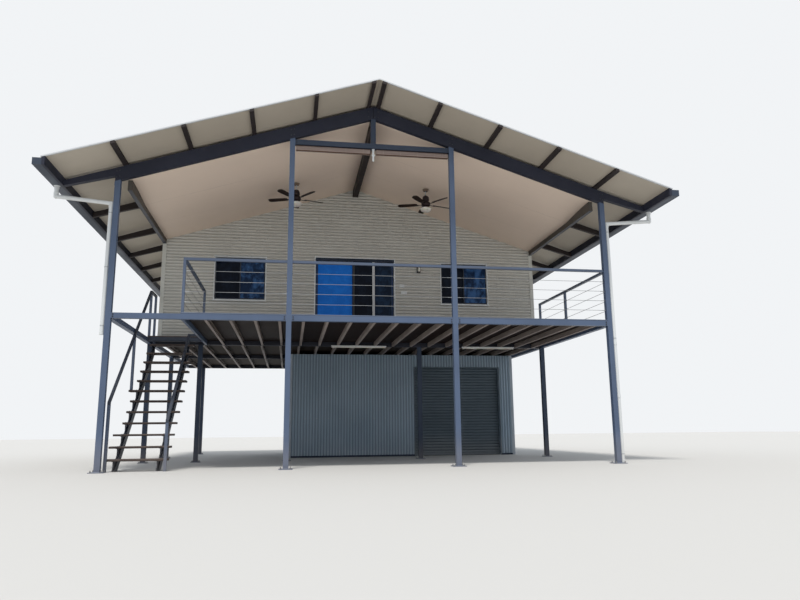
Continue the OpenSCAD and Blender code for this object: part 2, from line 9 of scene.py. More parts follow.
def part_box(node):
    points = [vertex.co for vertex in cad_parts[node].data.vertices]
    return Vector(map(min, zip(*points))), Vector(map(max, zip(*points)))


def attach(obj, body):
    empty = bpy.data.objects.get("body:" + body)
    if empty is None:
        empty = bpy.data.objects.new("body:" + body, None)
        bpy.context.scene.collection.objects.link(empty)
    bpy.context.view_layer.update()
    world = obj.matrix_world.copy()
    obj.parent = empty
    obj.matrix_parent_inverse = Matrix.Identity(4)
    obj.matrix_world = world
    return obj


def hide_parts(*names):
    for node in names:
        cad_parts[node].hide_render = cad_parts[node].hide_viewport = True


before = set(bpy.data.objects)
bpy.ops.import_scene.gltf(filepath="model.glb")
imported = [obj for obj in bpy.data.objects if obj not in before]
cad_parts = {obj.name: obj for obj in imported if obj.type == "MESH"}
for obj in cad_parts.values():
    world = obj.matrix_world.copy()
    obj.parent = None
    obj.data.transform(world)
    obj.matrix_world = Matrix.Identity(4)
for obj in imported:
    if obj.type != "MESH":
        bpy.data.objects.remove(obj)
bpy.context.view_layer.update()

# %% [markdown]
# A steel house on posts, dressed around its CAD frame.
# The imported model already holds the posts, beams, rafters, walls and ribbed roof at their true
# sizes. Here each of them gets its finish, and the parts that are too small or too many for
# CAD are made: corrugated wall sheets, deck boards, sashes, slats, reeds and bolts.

scene = bpy.context.scene
SIDES = (-1, 1)
post_low, post_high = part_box("front_posts")
FRONT_Y = (post_low.y + post_high.y) / 2
POST = post_high.y - post_low.y
POST_X = post_high.x - POST / 2
INNER_X = 1.6
FRONT_XS = [-POST_X, -INNER_X, INNER_X, POST_X]
DECK_LEFT, DECK_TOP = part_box("deck")[0].x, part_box("deck")[1].z
BEAM_BOTTOM, BEAM_TOP = (corner.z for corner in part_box("deck_beams"))
WALL_X, WALL_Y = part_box("front_wall")[1].x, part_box("front_wall")[0].y
BACK_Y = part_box("back_wall")[1].y
HOUSE_D = BACK_Y - WALL_Y
ROOF_Y0, ROOF_Y1 = (corner.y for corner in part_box("purlins"))

ROOF_PITCH = math.radians(18)
SIN, COS, SLOPE = math.sin(ROOF_PITCH), math.cos(ROOF_PITCH), math.tan(ROOF_PITCH)
RIDGE_Z = 7.120
# Depths of the sloping pieces: D is square to the slope and V is straight down
RAFTER_D, PURLIN_D, INNER_RAFTER_D, LINING_T = 0.250, 0.050, 0.350, 0.012
RAFTER_V, PURLIN_V = RAFTER_D / COS, PURLIN_D / COS
LINING_DROP = (INNER_RAFTER_D + LINING_T) / COS


def rafter_z(x):
    """Height of the rafters' top edge at a distance from the centre line."""
    return RIDGE_Z - abs(x) * SLOPE


def behind(distance):
    """The Y of a place measured back from the front posts."""
    return FRONT_Y + distance


print("front posts at y", round(FRONT_Y, 3), "wall at y", round(WALL_Y, 3))

# %% [markdown]
# The camera stands low in front of the house, a little left of the middle, and looks up. Its
# place and lens were found by matching the corners of the frame to the photograph, and are
# written here as three direction vectors, so nothing depends on the render's own size.

# %% Camera
camera_data = bpy.data.cameras.new("camera")
camera_data.sensor_width = 36.0
camera_data.lens = 30.24
camera = bpy.data.objects.new("camera", camera_data)
scene.collection.objects.link(camera)
view_forward = Vector((0.15919, 0.96859, 0.19102))
level_right = Vector((0.98676, -0.16218, 0.0))
level_up = Vector((-0.03098, -0.18849, 0.98158))
ROLL = -0.01
view_right = math.cos(ROLL) * level_right + math.sin(ROLL) * level_up
view_up = math.cos(ROLL) * level_up - math.sin(ROLL) * level_right
camera.matrix_world = Matrix((view_right, view_up, -view_forward)).transposed().to_4x4()
camera.matrix_world.translation = Vector((-1.5552, FRONT_Y - 12.6, 0.663))
scene.camera = camera
print("camera at", [round(v, 3) for v in camera.matrix_world.translation])

# %% [markdown]
# Every look is a tree of nodes, and so is everything that repeats. Two helpers write such
# trees: one adds a node and sets or links its inputs by name or number, and the other adds a
# Math node on plain numbers or sockets.

# %% Node helpers
def feed(tree, node, inputs):
    """Sets each input to a plain value, or links it to an output socket."""
    for key, value in inputs.items():
        if isinstance(value, bpy.types.NodeSocket):
            tree.links.new(value, node.inputs[key])
        else:
            node.inputs[key].default_value = value
    return node


def add_node(tree, kind, inputs=None, **settings):
    """A new node with its settings, and with its inputs fed."""
    node = tree.nodes.new(kind)
    for key, value in settings.items():
        setattr(node, key, value)
    return feed(tree, node, inputs or {})


def math_node(tree, operation, *values):
    """A Math node on up to three values, each a number or an output socket."""
    return add_node(tree, "ShaderNodeMath", dict(enumerate(values)), operation=operation).outputs[0]


# %% [markdown]
# Light is plain and soft, so that each finish shows about the colour it is written in. One
# large soft sun stands for the daylight, and the world fills the shade. The world looks pale
# to the camera and in reflections, but lights the object only at a moderate level.

# %% Light and world
scene.view_settings.view_transform = "Standard"
world = bpy.data.worlds.new("soft_world")
scene.world = world
world.use_nodes = True
sky = world.node_tree
sky.nodes.clear()
fill_light = add_node(sky, "ShaderNodeBackground", {"Color": (0.86, 0.92, 1.0, 1), "Strength": 0.8})
seen_sky = add_node(sky, "ShaderNodeBackground", {"Color": (0.93, 0.95, 0.97, 1), "Strength": 0.95})
light_path = add_node(sky, "ShaderNodeLightPath")
seen = light_path.outputs["Is Camera Ray"]
for ray in ("Is Glossy Ray", "Is Transmission Ray"):
    seen = math_node(sky, "MAXIMUM", seen, light_path.outputs[ray])
world_mix = add_node(sky, "ShaderNodeMixShader",
                     {"Fac": seen, 1: fill_light.outputs[0], 2: seen_sky.outputs[0]})
add_node(sky, "ShaderNodeOutputWorld", {"Surface": world_mix.outputs[0]})

sun_data = bpy.data.lights.new("sun", "SUN")
sun_data.energy = 2.6
sun_data.angle = math.radians(10)
sun_data.color = (1.0, 0.97, 0.92)
sun = bpy.data.objects.new("sun", sun_data)
scene.collection.objects.link(sun)
sun.rotation_euler = (math.radians(24), math.radians(-10), 0)
print("sun strength", sun_data.energy)

# %% [markdown]
# Patterns that several finishes share are node groups, built once. Each puts out only masks,
# tones and heights; the shader itself stays in the material. "Weathering" gives the slow
# blotches, fine speckle and rain streaks that any painted outdoor surface has. It reads the
# object's own coordinates in metres, so the scale is right on every piece.

# %% Pattern helpers
def node_tree(kind, name, inputs, outputs):
    """A node group with named inputs (name, kind, value) and outputs (name, kind). It comes
    with the sockets that bring the inputs in and those that take the outputs."""
    tree = bpy.data.node_groups.new(name, kind)
    for label, socket_kind, value in inputs:
        socket = tree.interface.new_socket(label, in_out="INPUT", socket_type="NodeSocket" + socket_kind)
        if value is not None:
            socket.default_value = value
    for label, socket_kind in outputs:
        tree.interface.new_socket(label, in_out="OUTPUT", socket_type="NodeSocket" + socket_kind)
    return tree, tree.nodes.new("NodeGroupInput").outputs, tree.nodes.new("NodeGroupOutput").inputs


def noise(tree, vector, scale, detail=3.0, roughness=0.55):
    inputs = {"Vector": vector, "Scale": scale, "Detail": detail, "Roughness": roughness}
    return add_node(tree, "ShaderNodeTexNoise", inputs).outputs["Fac"]


def stretched(tree, vector, scale):
    return add_node(tree, "ShaderNodeMapping", {"Vector": vector, "Scale": scale}).outputs["Vector"]


def ramp(tree, value, low, high):
    """Spreads values between low and high over 0 to 1."""
    return add_node(tree, "ShaderNodeMapRange", {"Value": value, "From Min": low, "From Max": high},
                    clamp=True, interpolation_type="SMOOTHSTEP").outputs["Result"]


def split_xyz(tree, vector):
    return add_node(tree, "ShaderNodeSeparateXYZ", {0: vector}).outputs


# %% Weathering group
weather, w_in, w_out = node_tree(
    "ShaderNodeTree", "weathering",
    [("Vector", "Vector", None), ("Blotch Scale", "Float", 0.9),
     ("Speckle Scale", "Float", 140.0), ("Streak Scale", "Float", 1.0)],
    [("Blotch", "Float"), ("Speckle", "Float"), ("Streak", "Float"), ("Ground Dust", "Float")])
blotch = ramp(weather, noise(weather, w_in["Vector"], w_in["Blotch Scale"], 5), 0.34, 0.68)
speckle = noise(weather, w_in["Vector"], w_in["Speckle Scale"], 2)
streak_vector = stretched(weather, w_in["Vector"], (14.0, 14.0, 0.7))
streak = ramp(weather, noise(weather, streak_vector, w_in["Streak Scale"], 4), 0.52, 0.78)
point_height = split_xyz(weather, w_in["Vector"])["Z"]
dust_edge = math_node(weather, "ADD", point_height, math_node(weather, "MULTIPLY", blotch, 0.25))
dust = math_node(weather, "SUBTRACT", 1.0, ramp(weather, dust_edge, 0.12, 0.85))
for socket, source in zip(w_out, (blotch, speckle, streak, dust)):
    weather.links.new(source, socket)
print("weathering outputs", [socket.name for socket in w_out if socket.name])

# %% Grain group
grain, g_in, g_out = node_tree(
    "ShaderNodeTree", "timber_grain", [("Vector", "Vector", None), ("Tone", "Float", 0.5)],
    [("Grain", "Float"), ("Height", "Float")])
tone_shift = math_node(grain, "MULTIPLY", g_in["Tone"], 37.0)
tone_vector = add_node(grain, "ShaderNodeCombineXYZ", {axis: tone_shift for axis in "XYZ"})
shifted = add_node(grain, "ShaderNodeVectorMath", {0: g_in["Vector"], 1: tone_vector.outputs[0]},
                   operation="ADD").outputs[0]
coarse = noise(grain, stretched(grain, shifted, (1.2, 26.0, 26.0)), 1.6, 4, 0.6)
fine = noise(grain, stretched(grain, shifted, (3.0, 240.0, 240.0)), 1.0, 2)
mixed = math_node(grain, "ADD", math_node(grain, "MULTIPLY", coarse, 0.7),
                  math_node(grain, "MULTIPLY", fine, 0.3))
grain.links.new(ramp(grain, mixed, 0.36, 0.66), g_out["Grain"])
grain.links.new(mixed, g_out["Height"])

# %% [markdown]
# A finish is a colour with small changes in it. The painted-metal maker below darkens the
# paint in slow blotches, adds dust near the ground and faint rain streaks, varies the gloss,
# and gives a fine orange-peel height. Every metal part calls it with its own values.

# %% Painted metal
def new_material(name):
    """A material with its tree, its shader and the object's own coordinates."""
    material = bpy.data.materials.new(name)
    material.use_nodes = True
    tree = material.node_tree
    coordinates = add_node(tree, "ShaderNodeTexCoord").outputs["Object"]
    return material, tree, tree.nodes["Principled BSDF"], coordinates


def mix_colour(tree, factor, a, b):
    """Mixes two colours, each a tuple or an output socket, by a factor."""
    a, b = ((*colour, 1) if isinstance(colour, tuple) else colour for colour in (a, b))
    return add_node(tree, "ShaderNodeMix", {0: factor, 6: a, 7: b}, data_type="RGBA").outputs[2]


def shade(colour, amount):
    return tuple(min(1.0, c * amount) for c in colour)


def bump(tree, shader, height, strength, distance):
    inputs = {"Height": height, "Strength": strength, "Distance": distance}
    feed(tree, shader, {"Normal": add_node(tree, "ShaderNodeBump", inputs).outputs["Normal"]})


def attribute(tree, name):
    return add_node(tree, "ShaderNodeAttribute", attribute_name=name).outputs["Fac"]


def use_weather(tree, coordinates, blotch_scale=0.9):
    inputs = {"Vector": coordinates, "Blotch Scale": blotch_scale}
    return add_node(tree, "ShaderNodeGroup", inputs, node_tree=weather).outputs


DUST = (0.40, 0.33, 0.25)


def painted(name, colour, roughness, metallic=0.0, dust=0.0, streaks=0.0, darker=0.82,
            blotch_scale=0.9, base=None, valley=0.0, specular=0.5):
    """Painted sheet or section: base is an optional maker of a patterned colour, and valley is
    how much painted shade darkens the valleys of corrugated sheet."""
    material, tree, shader, coordinates = new_material(name)
    out = use_weather(tree, coordinates, blotch_scale)
    clean = base(tree, coordinates) if base else colour
    body = mix_colour(tree, out["Blotch"], clean, shade(colour, darker))
    body = mix_colour(tree, math_node(tree, "MULTIPLY", out["Streak"], streaks), body, shade(colour, 0.6))
    body = mix_colour(tree, math_node(tree, "MULTIPLY", out["Ground Dust"], dust), body, DUST)
    # Painted shade: the paint is darker the deeper a point lies in a valley.
    if valley:
        depth = math_node(tree, "MULTIPLY", attribute(tree, "valley"), valley)
        body = mix_colour(tree, depth, body, shade(colour, 0.45))
    feed(tree, shader, {
        "Base Color": body, "Metallic": metallic, "Specular IOR Level": specular,
        "Roughness": math_node(tree, "MULTIPLY_ADD", out["Blotch"], 0.16, roughness)})
    bump(tree, shader, out["Speckle"], 0.12, 0.0006)
    return material


# %% Paints of the frame and the roof
frame_paint = painted("frame_paint", (0.080, 0.118, 0.200), 0.36, dust=0.18, streaks=0.18)
rail_paint = painted("rail_paint", (0.085, 0.115, 0.180), 0.36, dust=0.2, streaks=0.12)
joist_paint = painted("joist_paint", (0.32, 0.265, 0.24), 0.5, streaks=0.35, darker=0.7)
column_paint = painted("column_paint", (0.034, 0.052, 0.090), 0.40, dust=0.18, streaks=0.15, specular=0.3)
bearer_paint = painted("bearer_paint", (0.030, 0.033, 0.046), 0.45, streaks=0.15, specular=0.2)
stair_paint = painted("stair_paint", (0.045, 0.055, 0.078), 0.40, dust=0.15, streaks=0.15, specular=0.3)
collar_paint = painted("collar_paint", (0.042, 0.058, 0.092), 0.40, streaks=0.15, specular=0.3)
roof_paint = painted("roof_paint", (0.031, 0.034, 0.052), 0.48, streaks=0.12, specular=0.18)
purlin_paint = painted("purlin_paint", (0.036, 0.029, 0.029), 0.48, streaks=0.12, specular=0.18)
gutter_paint = painted("gutter_paint", (0.046, 0.060, 0.088), 0.42, streaks=0.2, specular=0.25)
eave_paint = painted("eave_paint", (0.085, 0.075, 0.064), 0.5, streaks=0.1, specular=0.2)
edge_white = painted("edge_white", (0.62, 0.64, 0.66), 0.4, streaks=0.3, darker=0.85)

# %% Paints of the walls, windows and doors
wall_paint = painted("wall_paint", (0.61, 0.60, 0.55), 0.42, streaks=0.06, darker=0.93, valley=0.75)
# Painted shade and sky light: the store room's sheets and trims are the wall's pale sheet and trim colours
# made darker and bluer, as they look in the shade under the deck.
store_paint = painted("store_paint", (0.29, 0.385, 0.475), 0.45, dust=0.15, streaks=0.10, darker=0.9,
                      valley=0.95)
store_trim_paint = painted("store_trim_paint", (0.38, 0.44, 0.50), 0.45, dust=0.15, streaks=0.10)
trim_paint = painted("trim_paint", (0.60, 0.60, 0.55), 0.40, dust=0.3, streaks=0.10, darker=0.9)
band_paint = painted("band_paint", (0.022, 0.032, 0.055), 0.4, streaks=0.1, specular=0.2)
white_powder = painted("white_powder", (0.72, 0.74, 0.74), 0.33, dust=0.2, streaks=0.22, darker=0.9)
sash_powder = painted("sash_powder", (0.62, 0.64, 0.65), 0.35, streaks=0.05, darker=0.92)
sash_dark = painted("sash_dark", (0.030, 0.040, 0.060), 0.38, streaks=0.05, specular=0.25)
stile_blue = painted("stile_blue", (0.016, 0.040, 0.105), 0.35, streaks=0.05, specular=0.25)
shutter_paint = painted("shutter_paint", (0.085, 0.120, 0.150), 0.40, dust=0.15, streaks=0.15, valley=0.9)

# %% Bare metal, bronze and plastic
zinc = painted("zinc", (0.52, 0.54, 0.55), 0.34, metallic=0.55, streaks=0.3, darker=0.86)
bolt_zinc = painted("bolt_zinc", (0.26, 0.275, 0.29), 0.42, metallic=0.6, dust=0.2, streaks=0.1)
roof_zinc = painted("roof_zinc", (0.30, 0.32, 0.34), 0.50, metallic=0.35, streaks=0.3, darker=0.84)
frame_bolt = painted("frame_bolt", (0.045, 0.050, 0.062), 0.45, metallic=0.3, streaks=0.2)
wall_screw = painted("wall_screw", (0.55, 0.54, 0.49), 0.45)
fan_bronze = painted("fan_bronze", (0.032, 0.021, 0.022), 0.34, metallic=0.3, specular=0.3)
canopy_bronze = painted("canopy_bronze", (0.150, 0.105, 0.075), 0.30, metallic=0.6)
black_plastic = painted("black_plastic", (0.020, 0.021, 0.023), 0.45, dust=0.1, streaks=0.05)
print("painted finishes", len(bpy.data.materials))

# %% [markdown]
# Ceiling boards are flat sheets with fine joints. A joint is a thin darker line at every
# board's edge across the roof, plus a very soft unevenness, as painted board has.

# %% Board and panel finishes
JOINT_HALF = 0.0025


def jointed(colour, spacing):
    """A maker of a colour with a thin joint line every spacing metres from front to back."""
    def make(tree, coordinates):
        wrapped = math_node(tree, "PINGPONG", split_xyz(tree, coordinates)["Y"], spacing / 2)
        line = math_node(tree, "LESS_THAN", wrapped, JOINT_HALF)
        return mix_colour(tree, line, colour, shade(colour, 0.62))
    return make


LINING, SOFFIT = (0.92, 0.765, 0.635), (0.50, 0.445, 0.365)
lining_paint = painted("lining_paint", LINING, 0.6, darker=0.93, blotch_scale=0.35,
                       base=jointed(LINING, 1.2))
soffit_paint = painted("soffit_paint", SOFFIT, 0.5, darker=0.90, blotch_scale=0.6,
                       base=jointed(SOFFIT, 1.0))


# %% Timber
def timber(name, light, dark, roughness, toned=True, under=1.0):
    """Timber with its grain along X. A toned one reads each board's own tone, and the under
    value sets the painted shade on the faces that look down: the lower it is, the darker they are."""
    material, tree, shader, coordinates = new_material(name)
    pattern = add_node(tree, "ShaderNodeGroup", {"Vector": coordinates}, node_tree=grain)
    body = mix_colour(tree, pattern.outputs["Grain"], dark, light)
    if toned:
        tone = attribute(tree, "tone")
        feed(tree, pattern, {"Tone": tone})
        body = mix_colour(tree, math_node(tree, "MULTIPLY", tone, 0.55), body, shade(dark, 0.7))
    # Painted shade on the faces that look down.
    if under < 1.0:
        normal = add_node(tree, "ShaderNodeTexCoord").outputs["Normal"]
        below = math_node(tree, "LESS_THAN", split_xyz(tree, normal)["Z"], -0.5)
        body = mix_colour(tree, below, body, shade(dark, under))
    feed(tree, shader, {"Base Color": body, "Roughness": roughness, "Specular IOR Level": 0.12})
    bump(tree, shader, pattern.outputs["Height"], 0.35, 0.0015)
    return material


deck_timber = timber("deck_timber", (0.190, 0.105, 0.070), (0.085, 0.045, 0.032), 0.55, under=0.2)
tread_timber = timber("tread_timber", (0.135, 0.105, 0.090), (0.060, 0.047, 0.044), 0.6)
floor_panel = timber("floor_panel", (0.165, 0.120, 0.085), (0.100, 0.070, 0.050), 0.7, False, 0.35)
reed_timber = timber("reed_timber", (0.43, 0.34, 0.30), (0.29, 0.225, 0.20), 0.7)
blade_timber = timber("blade_timber", (0.040, 0.024, 0.017), (0.018, 0.011, 0.009), 0.5, False)
blind_edge = timber("blind_edge", (0.125, 0.070, 0.045), (0.065, 0.035, 0.024), 0.6, False)


# %% Glass
def pane(name, colour, reflection_colour):
    """Tinted glass whose dark colour paints the unlit room behind it as shade, with a soft painted
    reflection mottled over it: glossy, nearly opaque, faintly uneven.
    """
    material, tree, shader, coordinates = new_material(name)
    out = use_weather(tree, coordinates, 1.6)
    # Painted reflection: a soft mottle of the second colour over the glass.
    reflection_veil = noise(tree, stretched(tree, coordinates, (5.0, 5.0, 3.6)), 1.0, 5, 0.65)
    feed(tree, shader, {
        "Base Color": mix_colour(tree, ramp(tree, reflection_veil, 0.42, 0.66), colour, reflection_colour),
        "Roughness": math_node(tree, "MULTIPLY_ADD", out["Streak"], 0.05, 0.04),
        "IOR": 1.5, "Specular IOR Level": 0.06})
    return material


dark_pane = pane("dark_pane", (0.003, 0.006, 0.014), (0.006, 0.012, 0.026))
blue_pane = pane("blue_pane", (0.008, 0.024, 0.066), (0.045, 0.120, 0.290))
night_pane = pane("night_pane", (0.007, 0.016, 0.036), (0.014, 0.036, 0.080))
bright_pane = pane("bright_pane", (0.012, 0.180, 0.720), (0.016, 0.215, 0.800))

lamp_glass, lamp_tree, lamp_shader, lamp_coordinates = new_material("lamp_glass")
lamp_blotch = use_weather(lamp_tree, lamp_coordinates, 8.0)["Blotch"]
feed(lamp_tree, lamp_shader, {
    "Base Color": mix_colour(lamp_tree, lamp_blotch, (0.80, 0.78, 0.72), (0.70, 0.67, 0.60)),
    "Roughness": 0.25, "Subsurface Weight": 0.15})
print("all finishes", len(bpy.data.materials))

# %% [markdown]
# Most pieces are made from plain outlines: a profile drawn in two axes and run along the
# third. The helpers below turn lists of points into closed meshes with their faces outwards,
# and hand each finished piece to its body, hiding the CAD nodes it stands for.

# %% Mesh helpers
# Points nearer than MERGE metres become one. Edges sharper than SHARP radians stay hard;
# turned forms and curved sheets take the two wider limits.
MERGE = 1e-5
SHARP, TURNED_SHARP, SHEET_SHARP = 0.6, 0.7, 0.9


def new_piece(name, vertices, faces, material):
    mesh = bpy.data.meshes.new(name)
    mesh.from_pydata([tuple(v) for v in vertices], [], faces)
    mesh.update()
    piece = bpy.data.objects.new(name, mesh)
    scene.collection.objects.link(piece)
    mesh.materials.append(material)
    return piece


def outward(piece):
    """Merges doubles and points every face out of its closed shell."""
    work = bmesh.new()
    work.from_mesh(piece.data)
    bmesh.ops.remove_doubles(work, verts=work.verts, dist=MERGE)
    bmesh.ops.recalc_face_normals(work, faces=work.faces)
    work.to_mesh(piece.data)
    work.free()
    return piece


# %% Boxes, frames, extrusions and turned forms
BOX_FACES = [(0, 3, 2, 1), (4, 5, 6, 7), (0, 1, 5, 4), (1, 2, 6, 5), (2, 3, 7, 6), (3, 0, 4, 7)]


class Shapes:
    """Collects boxes, frames, extrusions, tubes and turned forms into one piece."""

    def __init__(self):
        self.vertices = []
        self.faces = []

    def add(self, vertices, faces):
        start = len(self.vertices)
        self.vertices += [Vector(v) for v in vertices]
        self.faces += [tuple(start + i for i in face) for face in faces]

    def box(self, low, high, at=(0.0, 0.0, 0.0)):
        """A box between two corners, both measured from a point."""
        (x0, y0, z0), (x1, y1, z1) = ([a + b for a, b in zip(at, corner)] for corner in (low, high))
        self.add([(x0, y0, z0), (x1, y0, z0), (x1, y1, z0), (x0, y1, z0),
                  (x0, y0, z1), (x1, y0, z1), (x1, y1, z1), (x0, y1, z1)], BOX_FACES)

    def frame(self, low, high, width, foot=None):
        """A rectangular frame in the X-Z plane with mitred corners; foot is its bottom width."""
        (x0, y0, z0), (x1, y1, z1) = low, high
        foot = width if foot is None else foot
        outer = [(x0, z0), (x1, z0), (x1, z1), (x0, z1)]
        inner = [(x0 + width, z0 + foot), (x1 - width, z0 + foot),
                 (x1 - width, z1 - width), (x0 + width, z1 - width)]
        points = [(x, y, z) for y in (y0, y1) for ring in (outer, inner) for x, z in ring]
        faces = []
        for i in range(4):
            j = (i + 1) % 4
            faces += [(i, j, 4 + j, 4 + i), (8 + j, 8 + i, 12 + i, 12 + j),
                      (j, i, 8 + i, 8 + j), (4 + i, 4 + j, 12 + j, 12 + i)]
        self.add(points, faces)

    def extrude(self, outline, place, start, end):
        """Runs a closed outline of (a, b) points from start to end; place(a, b, c) gives 3D."""
        count = len(outline)
        points = [place(a, b, start) for a, b in outline] + [place(a, b, end) for a, b in outline]
        sides = [(i, (i + 1) % count, count + (i + 1) % count, count + i) for i in range(count)]
        self.add(points, sides + [tuple(reversed(range(count))), tuple(range(count, 2 * count))])

    def turned(self, centre, profile, sides=32, axis="Z", closed=False):
        """A form turned from (radius, height) points; closed joins the last point to the first."""
        centre = Vector(centre)
        vertices, faces = [], []
        for radius, height in profile:
            for k in range(sides):
                angle = 2 * math.pi * k / sides
                a, b = radius * math.cos(angle), radius * math.sin(angle)
                offset = {"Z": (a, b, height), "X": (height, a, b), "Y": (b, height, a)}[axis]
                vertices.append(centre + Vector(offset))
        rings = len(profile)
        for i in range(rings if closed else rings - 1):
            for k in range(sides):
                a, b = i * sides + k, i * sides + (k + 1) % sides
                c, d = (i + 1) % rings * sides + (k + 1) % sides, (i + 1) % rings * sides + k
                faces.append((a, b, c, d))
        if not closed:
            faces.append(tuple(reversed(range(sides))))
            faces.append(tuple(range((rings - 1) * sides, rings * sides)))
        self.add(vertices, faces)

    def piece(self, name, material):
        return outward(new_piece(name, self.vertices, self.faces, material))


# %% Edges, shading and bodies
def along_x(a, b, c):
    return (c, a, b)


def along_z(a, b, c):
    return (a, b, c)


def bevel(piece, width, segments=1):
    """Rounds the piece's hard edges in its mesh."""
    work = bmesh.new()
    work.from_mesh(piece.data)
    sharp = [e for e in work.edges if len(e.link_faces) == 2 and e.calc_face_angle(0) > SHARP]
    bmesh.ops.bevel(work, geom=sharp, offset=width, segments=segments, profile=0.5,
                    affect="EDGES", clamp_overlap=True)
    work.to_mesh(piece.data)
    work.free()
    return piece


def smooth(piece, angle=SHARP):
    """Shades a piece smooth, except at edges sharper than the angle."""
    work = bmesh.new()
    work.from_mesh(piece.data)
    for face in work.faces:
        face.smooth = True
    for line in work.edges:
        line.smooth = not (len(line.link_faces) == 2 and line.calc_face_angle(0) > angle)
    work.to_mesh(piece.data)
    work.free()
    return piece


def settle(piece, replaced=(), body="house"):
    """Hides the CAD nodes that a finished piece stands for, and gives the piece its body."""
    if replaced:
        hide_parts(*replaced)
    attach(piece, body)
    return piece


# %% [markdown]
# Geometry Nodes make what repeats. Each tree is built here with named inputs, and "cast"
# runs it once: it sets the inputs by their identifiers, evaluates the object, keeps the
# result as a plain mesh and removes the modifier. Every tree ends by turning its instances
# into real mesh and giving them their material.

# %% Geometry Nodes helpers
def geometry_tree(name, inputs):
    inputs = [("Geometry", "Geometry", None), *inputs, ("Material", "Material", None)]
    return node_tree("GeometryNodeTree", name, inputs, [("Geometry", "Geometry")])


def output_of(tree, kind, inputs=None, **settings):
    """The first output of a new node."""
    return add_node(tree, kind, inputs, **settings).outputs[0]


def named_vector(tree, name):
    """The output that reads a vector attribute of the points."""
    return output_of(tree, "GeometryNodeInputNamedAttribute", {"Name": name}, data_type="FLOAT_VECTOR")


def finish_tree(tree, geometry, group_in, group_out):
    real = output_of(tree, "GeometryNodeRealizeInstances", {0: geometry})
    coloured = output_of(tree, "GeometryNodeSetMaterial",
                         {"Geometry": real, "Material": group_in["Material"]})
    tree.links.new(coloured, group_out["Geometry"])


def cast(base, tree, material, values=None):
    """Runs a tree on the base object and returns the result as a plain mesh object."""
    modifier = base.modifiers.new("nodes", "NODES")
    modifier.node_group = tree
    wanted = dict(values or {}, Material=material)
    for item in tree.interface.items_tree:
        if item.in_out == "INPUT" and item.name in wanted:
            modifier[item.identifier] = wanted[item.name]
    graph = bpy.context.evaluated_depsgraph_get()
    graph.update()
    mesh = bpy.data.meshes.new_from_object(base.evaluated_get(graph), depsgraph=graph)
    base.modifiers.remove(modifier)
    name = base.name
    base.name = name + "_base"
    piece = bpy.data.objects.new(name, mesh)
    scene.collection.objects.link(piece)
    bpy.data.objects.remove(base)
    return piece


def base_object(name, points, lines=(), **attributes):
    """Loose points or separate lines, each attribute a list with one value for each point."""
    mesh = bpy.data.meshes.new(name)
    mesh.from_pydata([tuple(p) for p in points], list(lines), [])
    for label, values in attributes.items():
        if isinstance(values[0], float):
            mesh.attributes.new(label, "FLOAT", "POINT").data.foreach_set("value", values)
        else:
            flat = [c for value in values for c in value]
            mesh.attributes.new(label, "FLOAT_VECTOR", "POINT").data.foreach_set("vector", flat)
    base = bpy.data.objects.new(name, mesh)
    scene.collection.objects.link(base)
    return base


# %% [markdown]
# Boards, battens, straps and plates are all straight bars of one section. "Swept bars" turns
# each line of its base into such a bar: the line becomes a curve, and a rectangle with
# rounded corners runs along it. "Round bars" does the same with a circle, for rods, reeds
# and tubes. Each line carries a tone of its own, which the timber finish reads.

# %% The bar trees
bar_tree, bar_in, bar_out = geometry_tree(
    "swept_bars", [("Width", "Float", 0.1), ("Height", "Float", 0.02), ("Rounding", "Float", 0.002)])
bar_line = output_of(bar_tree, "GeometryNodeMeshToCurve", {0: bar_in["Geometry"]})
upright = output_of(bar_tree, "GeometryNodeSetCurveNormal", {0: bar_line}, mode="Z_UP")
section = output_of(bar_tree, "GeometryNodeCurvePrimitiveQuadrilateral",
                    {"Width": bar_in["Width"], "Height": bar_in["Height"]})
rounded = output_of(bar_tree, "GeometryNodeFilletCurve",
                    {"Curve": section, "Count": 1, "Radius": bar_in["Rounding"]}, mode="POLY")
swept = output_of(bar_tree, "GeometryNodeCurveToMesh",
                  {"Curve": upright, "Profile Curve": rounded, "Fill Caps": True})
finish_tree(bar_tree, swept, bar_in, bar_out)

rod_tree, rod_in, rod_out = geometry_tree("round_bars", [("Radius", "Float", 0.01), ("Sides", "Int", 10)])
rod_line = output_of(rod_tree, "GeometryNodeMeshToCurve", {0: rod_in["Geometry"]})
circle = output_of(rod_tree, "GeometryNodeCurvePrimitiveCircle",
                   {"Resolution": rod_in["Sides"], "Radius": rod_in["Radius"]})
swept = output_of(rod_tree, "GeometryNodeCurveToMesh",
                  {"Curve": rod_line, "Profile Curve": circle, "Fill Caps": True})
finish_tree(rod_tree, output_of(rod_tree, "GeometryNodeSetShadeSmooth", {0: swept}), rod_in, rod_out)

TONE_SEED = 3


def run_base(name, runs):
    """One separate line for each run, with a random tone for each."""
    chance = random.Random(TONE_SEED)
    points, lines, tones = [], [], []
    for start, end in runs:
        lines.append((len(points), len(points) + 1))
        points += [start, end]
        tones += [chance.random()] * 2
    return base_object(name, points, lines, tone=tones)


def bars(name, runs, width, height, material, rounding=0.002, replaced=()):
    """One piece of straight rectangular bars, each given by its two ends."""
    piece = cast(run_base(name, runs), bar_tree, material,
                 {"Width": width, "Height": height, "Rounding": rounding})
    return settle(outward(piece), replaced)


def rods(name, runs, radius, material, sides=10, replaced=()):
    """One piece of straight round bars, each given by its two ends."""
    piece = cast(run_base(name, runs), rod_tree, material, {"Radius": radius, "Sides": sides})
    return settle(smooth(outward(piece)), replaced)


def across(spans, y, z):
    """Runs from left to right, one for each (x0, x1) span, at one depth and height."""
    return [((x0, y, z), (x1, y, z)) for x0, x1 in spans]


# %% [markdown]
# Screws and bolts all look alike from outside: a hexagon head on a round washer. The tree
# makes one and sets a copy at each point, turned to face the way the point's attribute says.

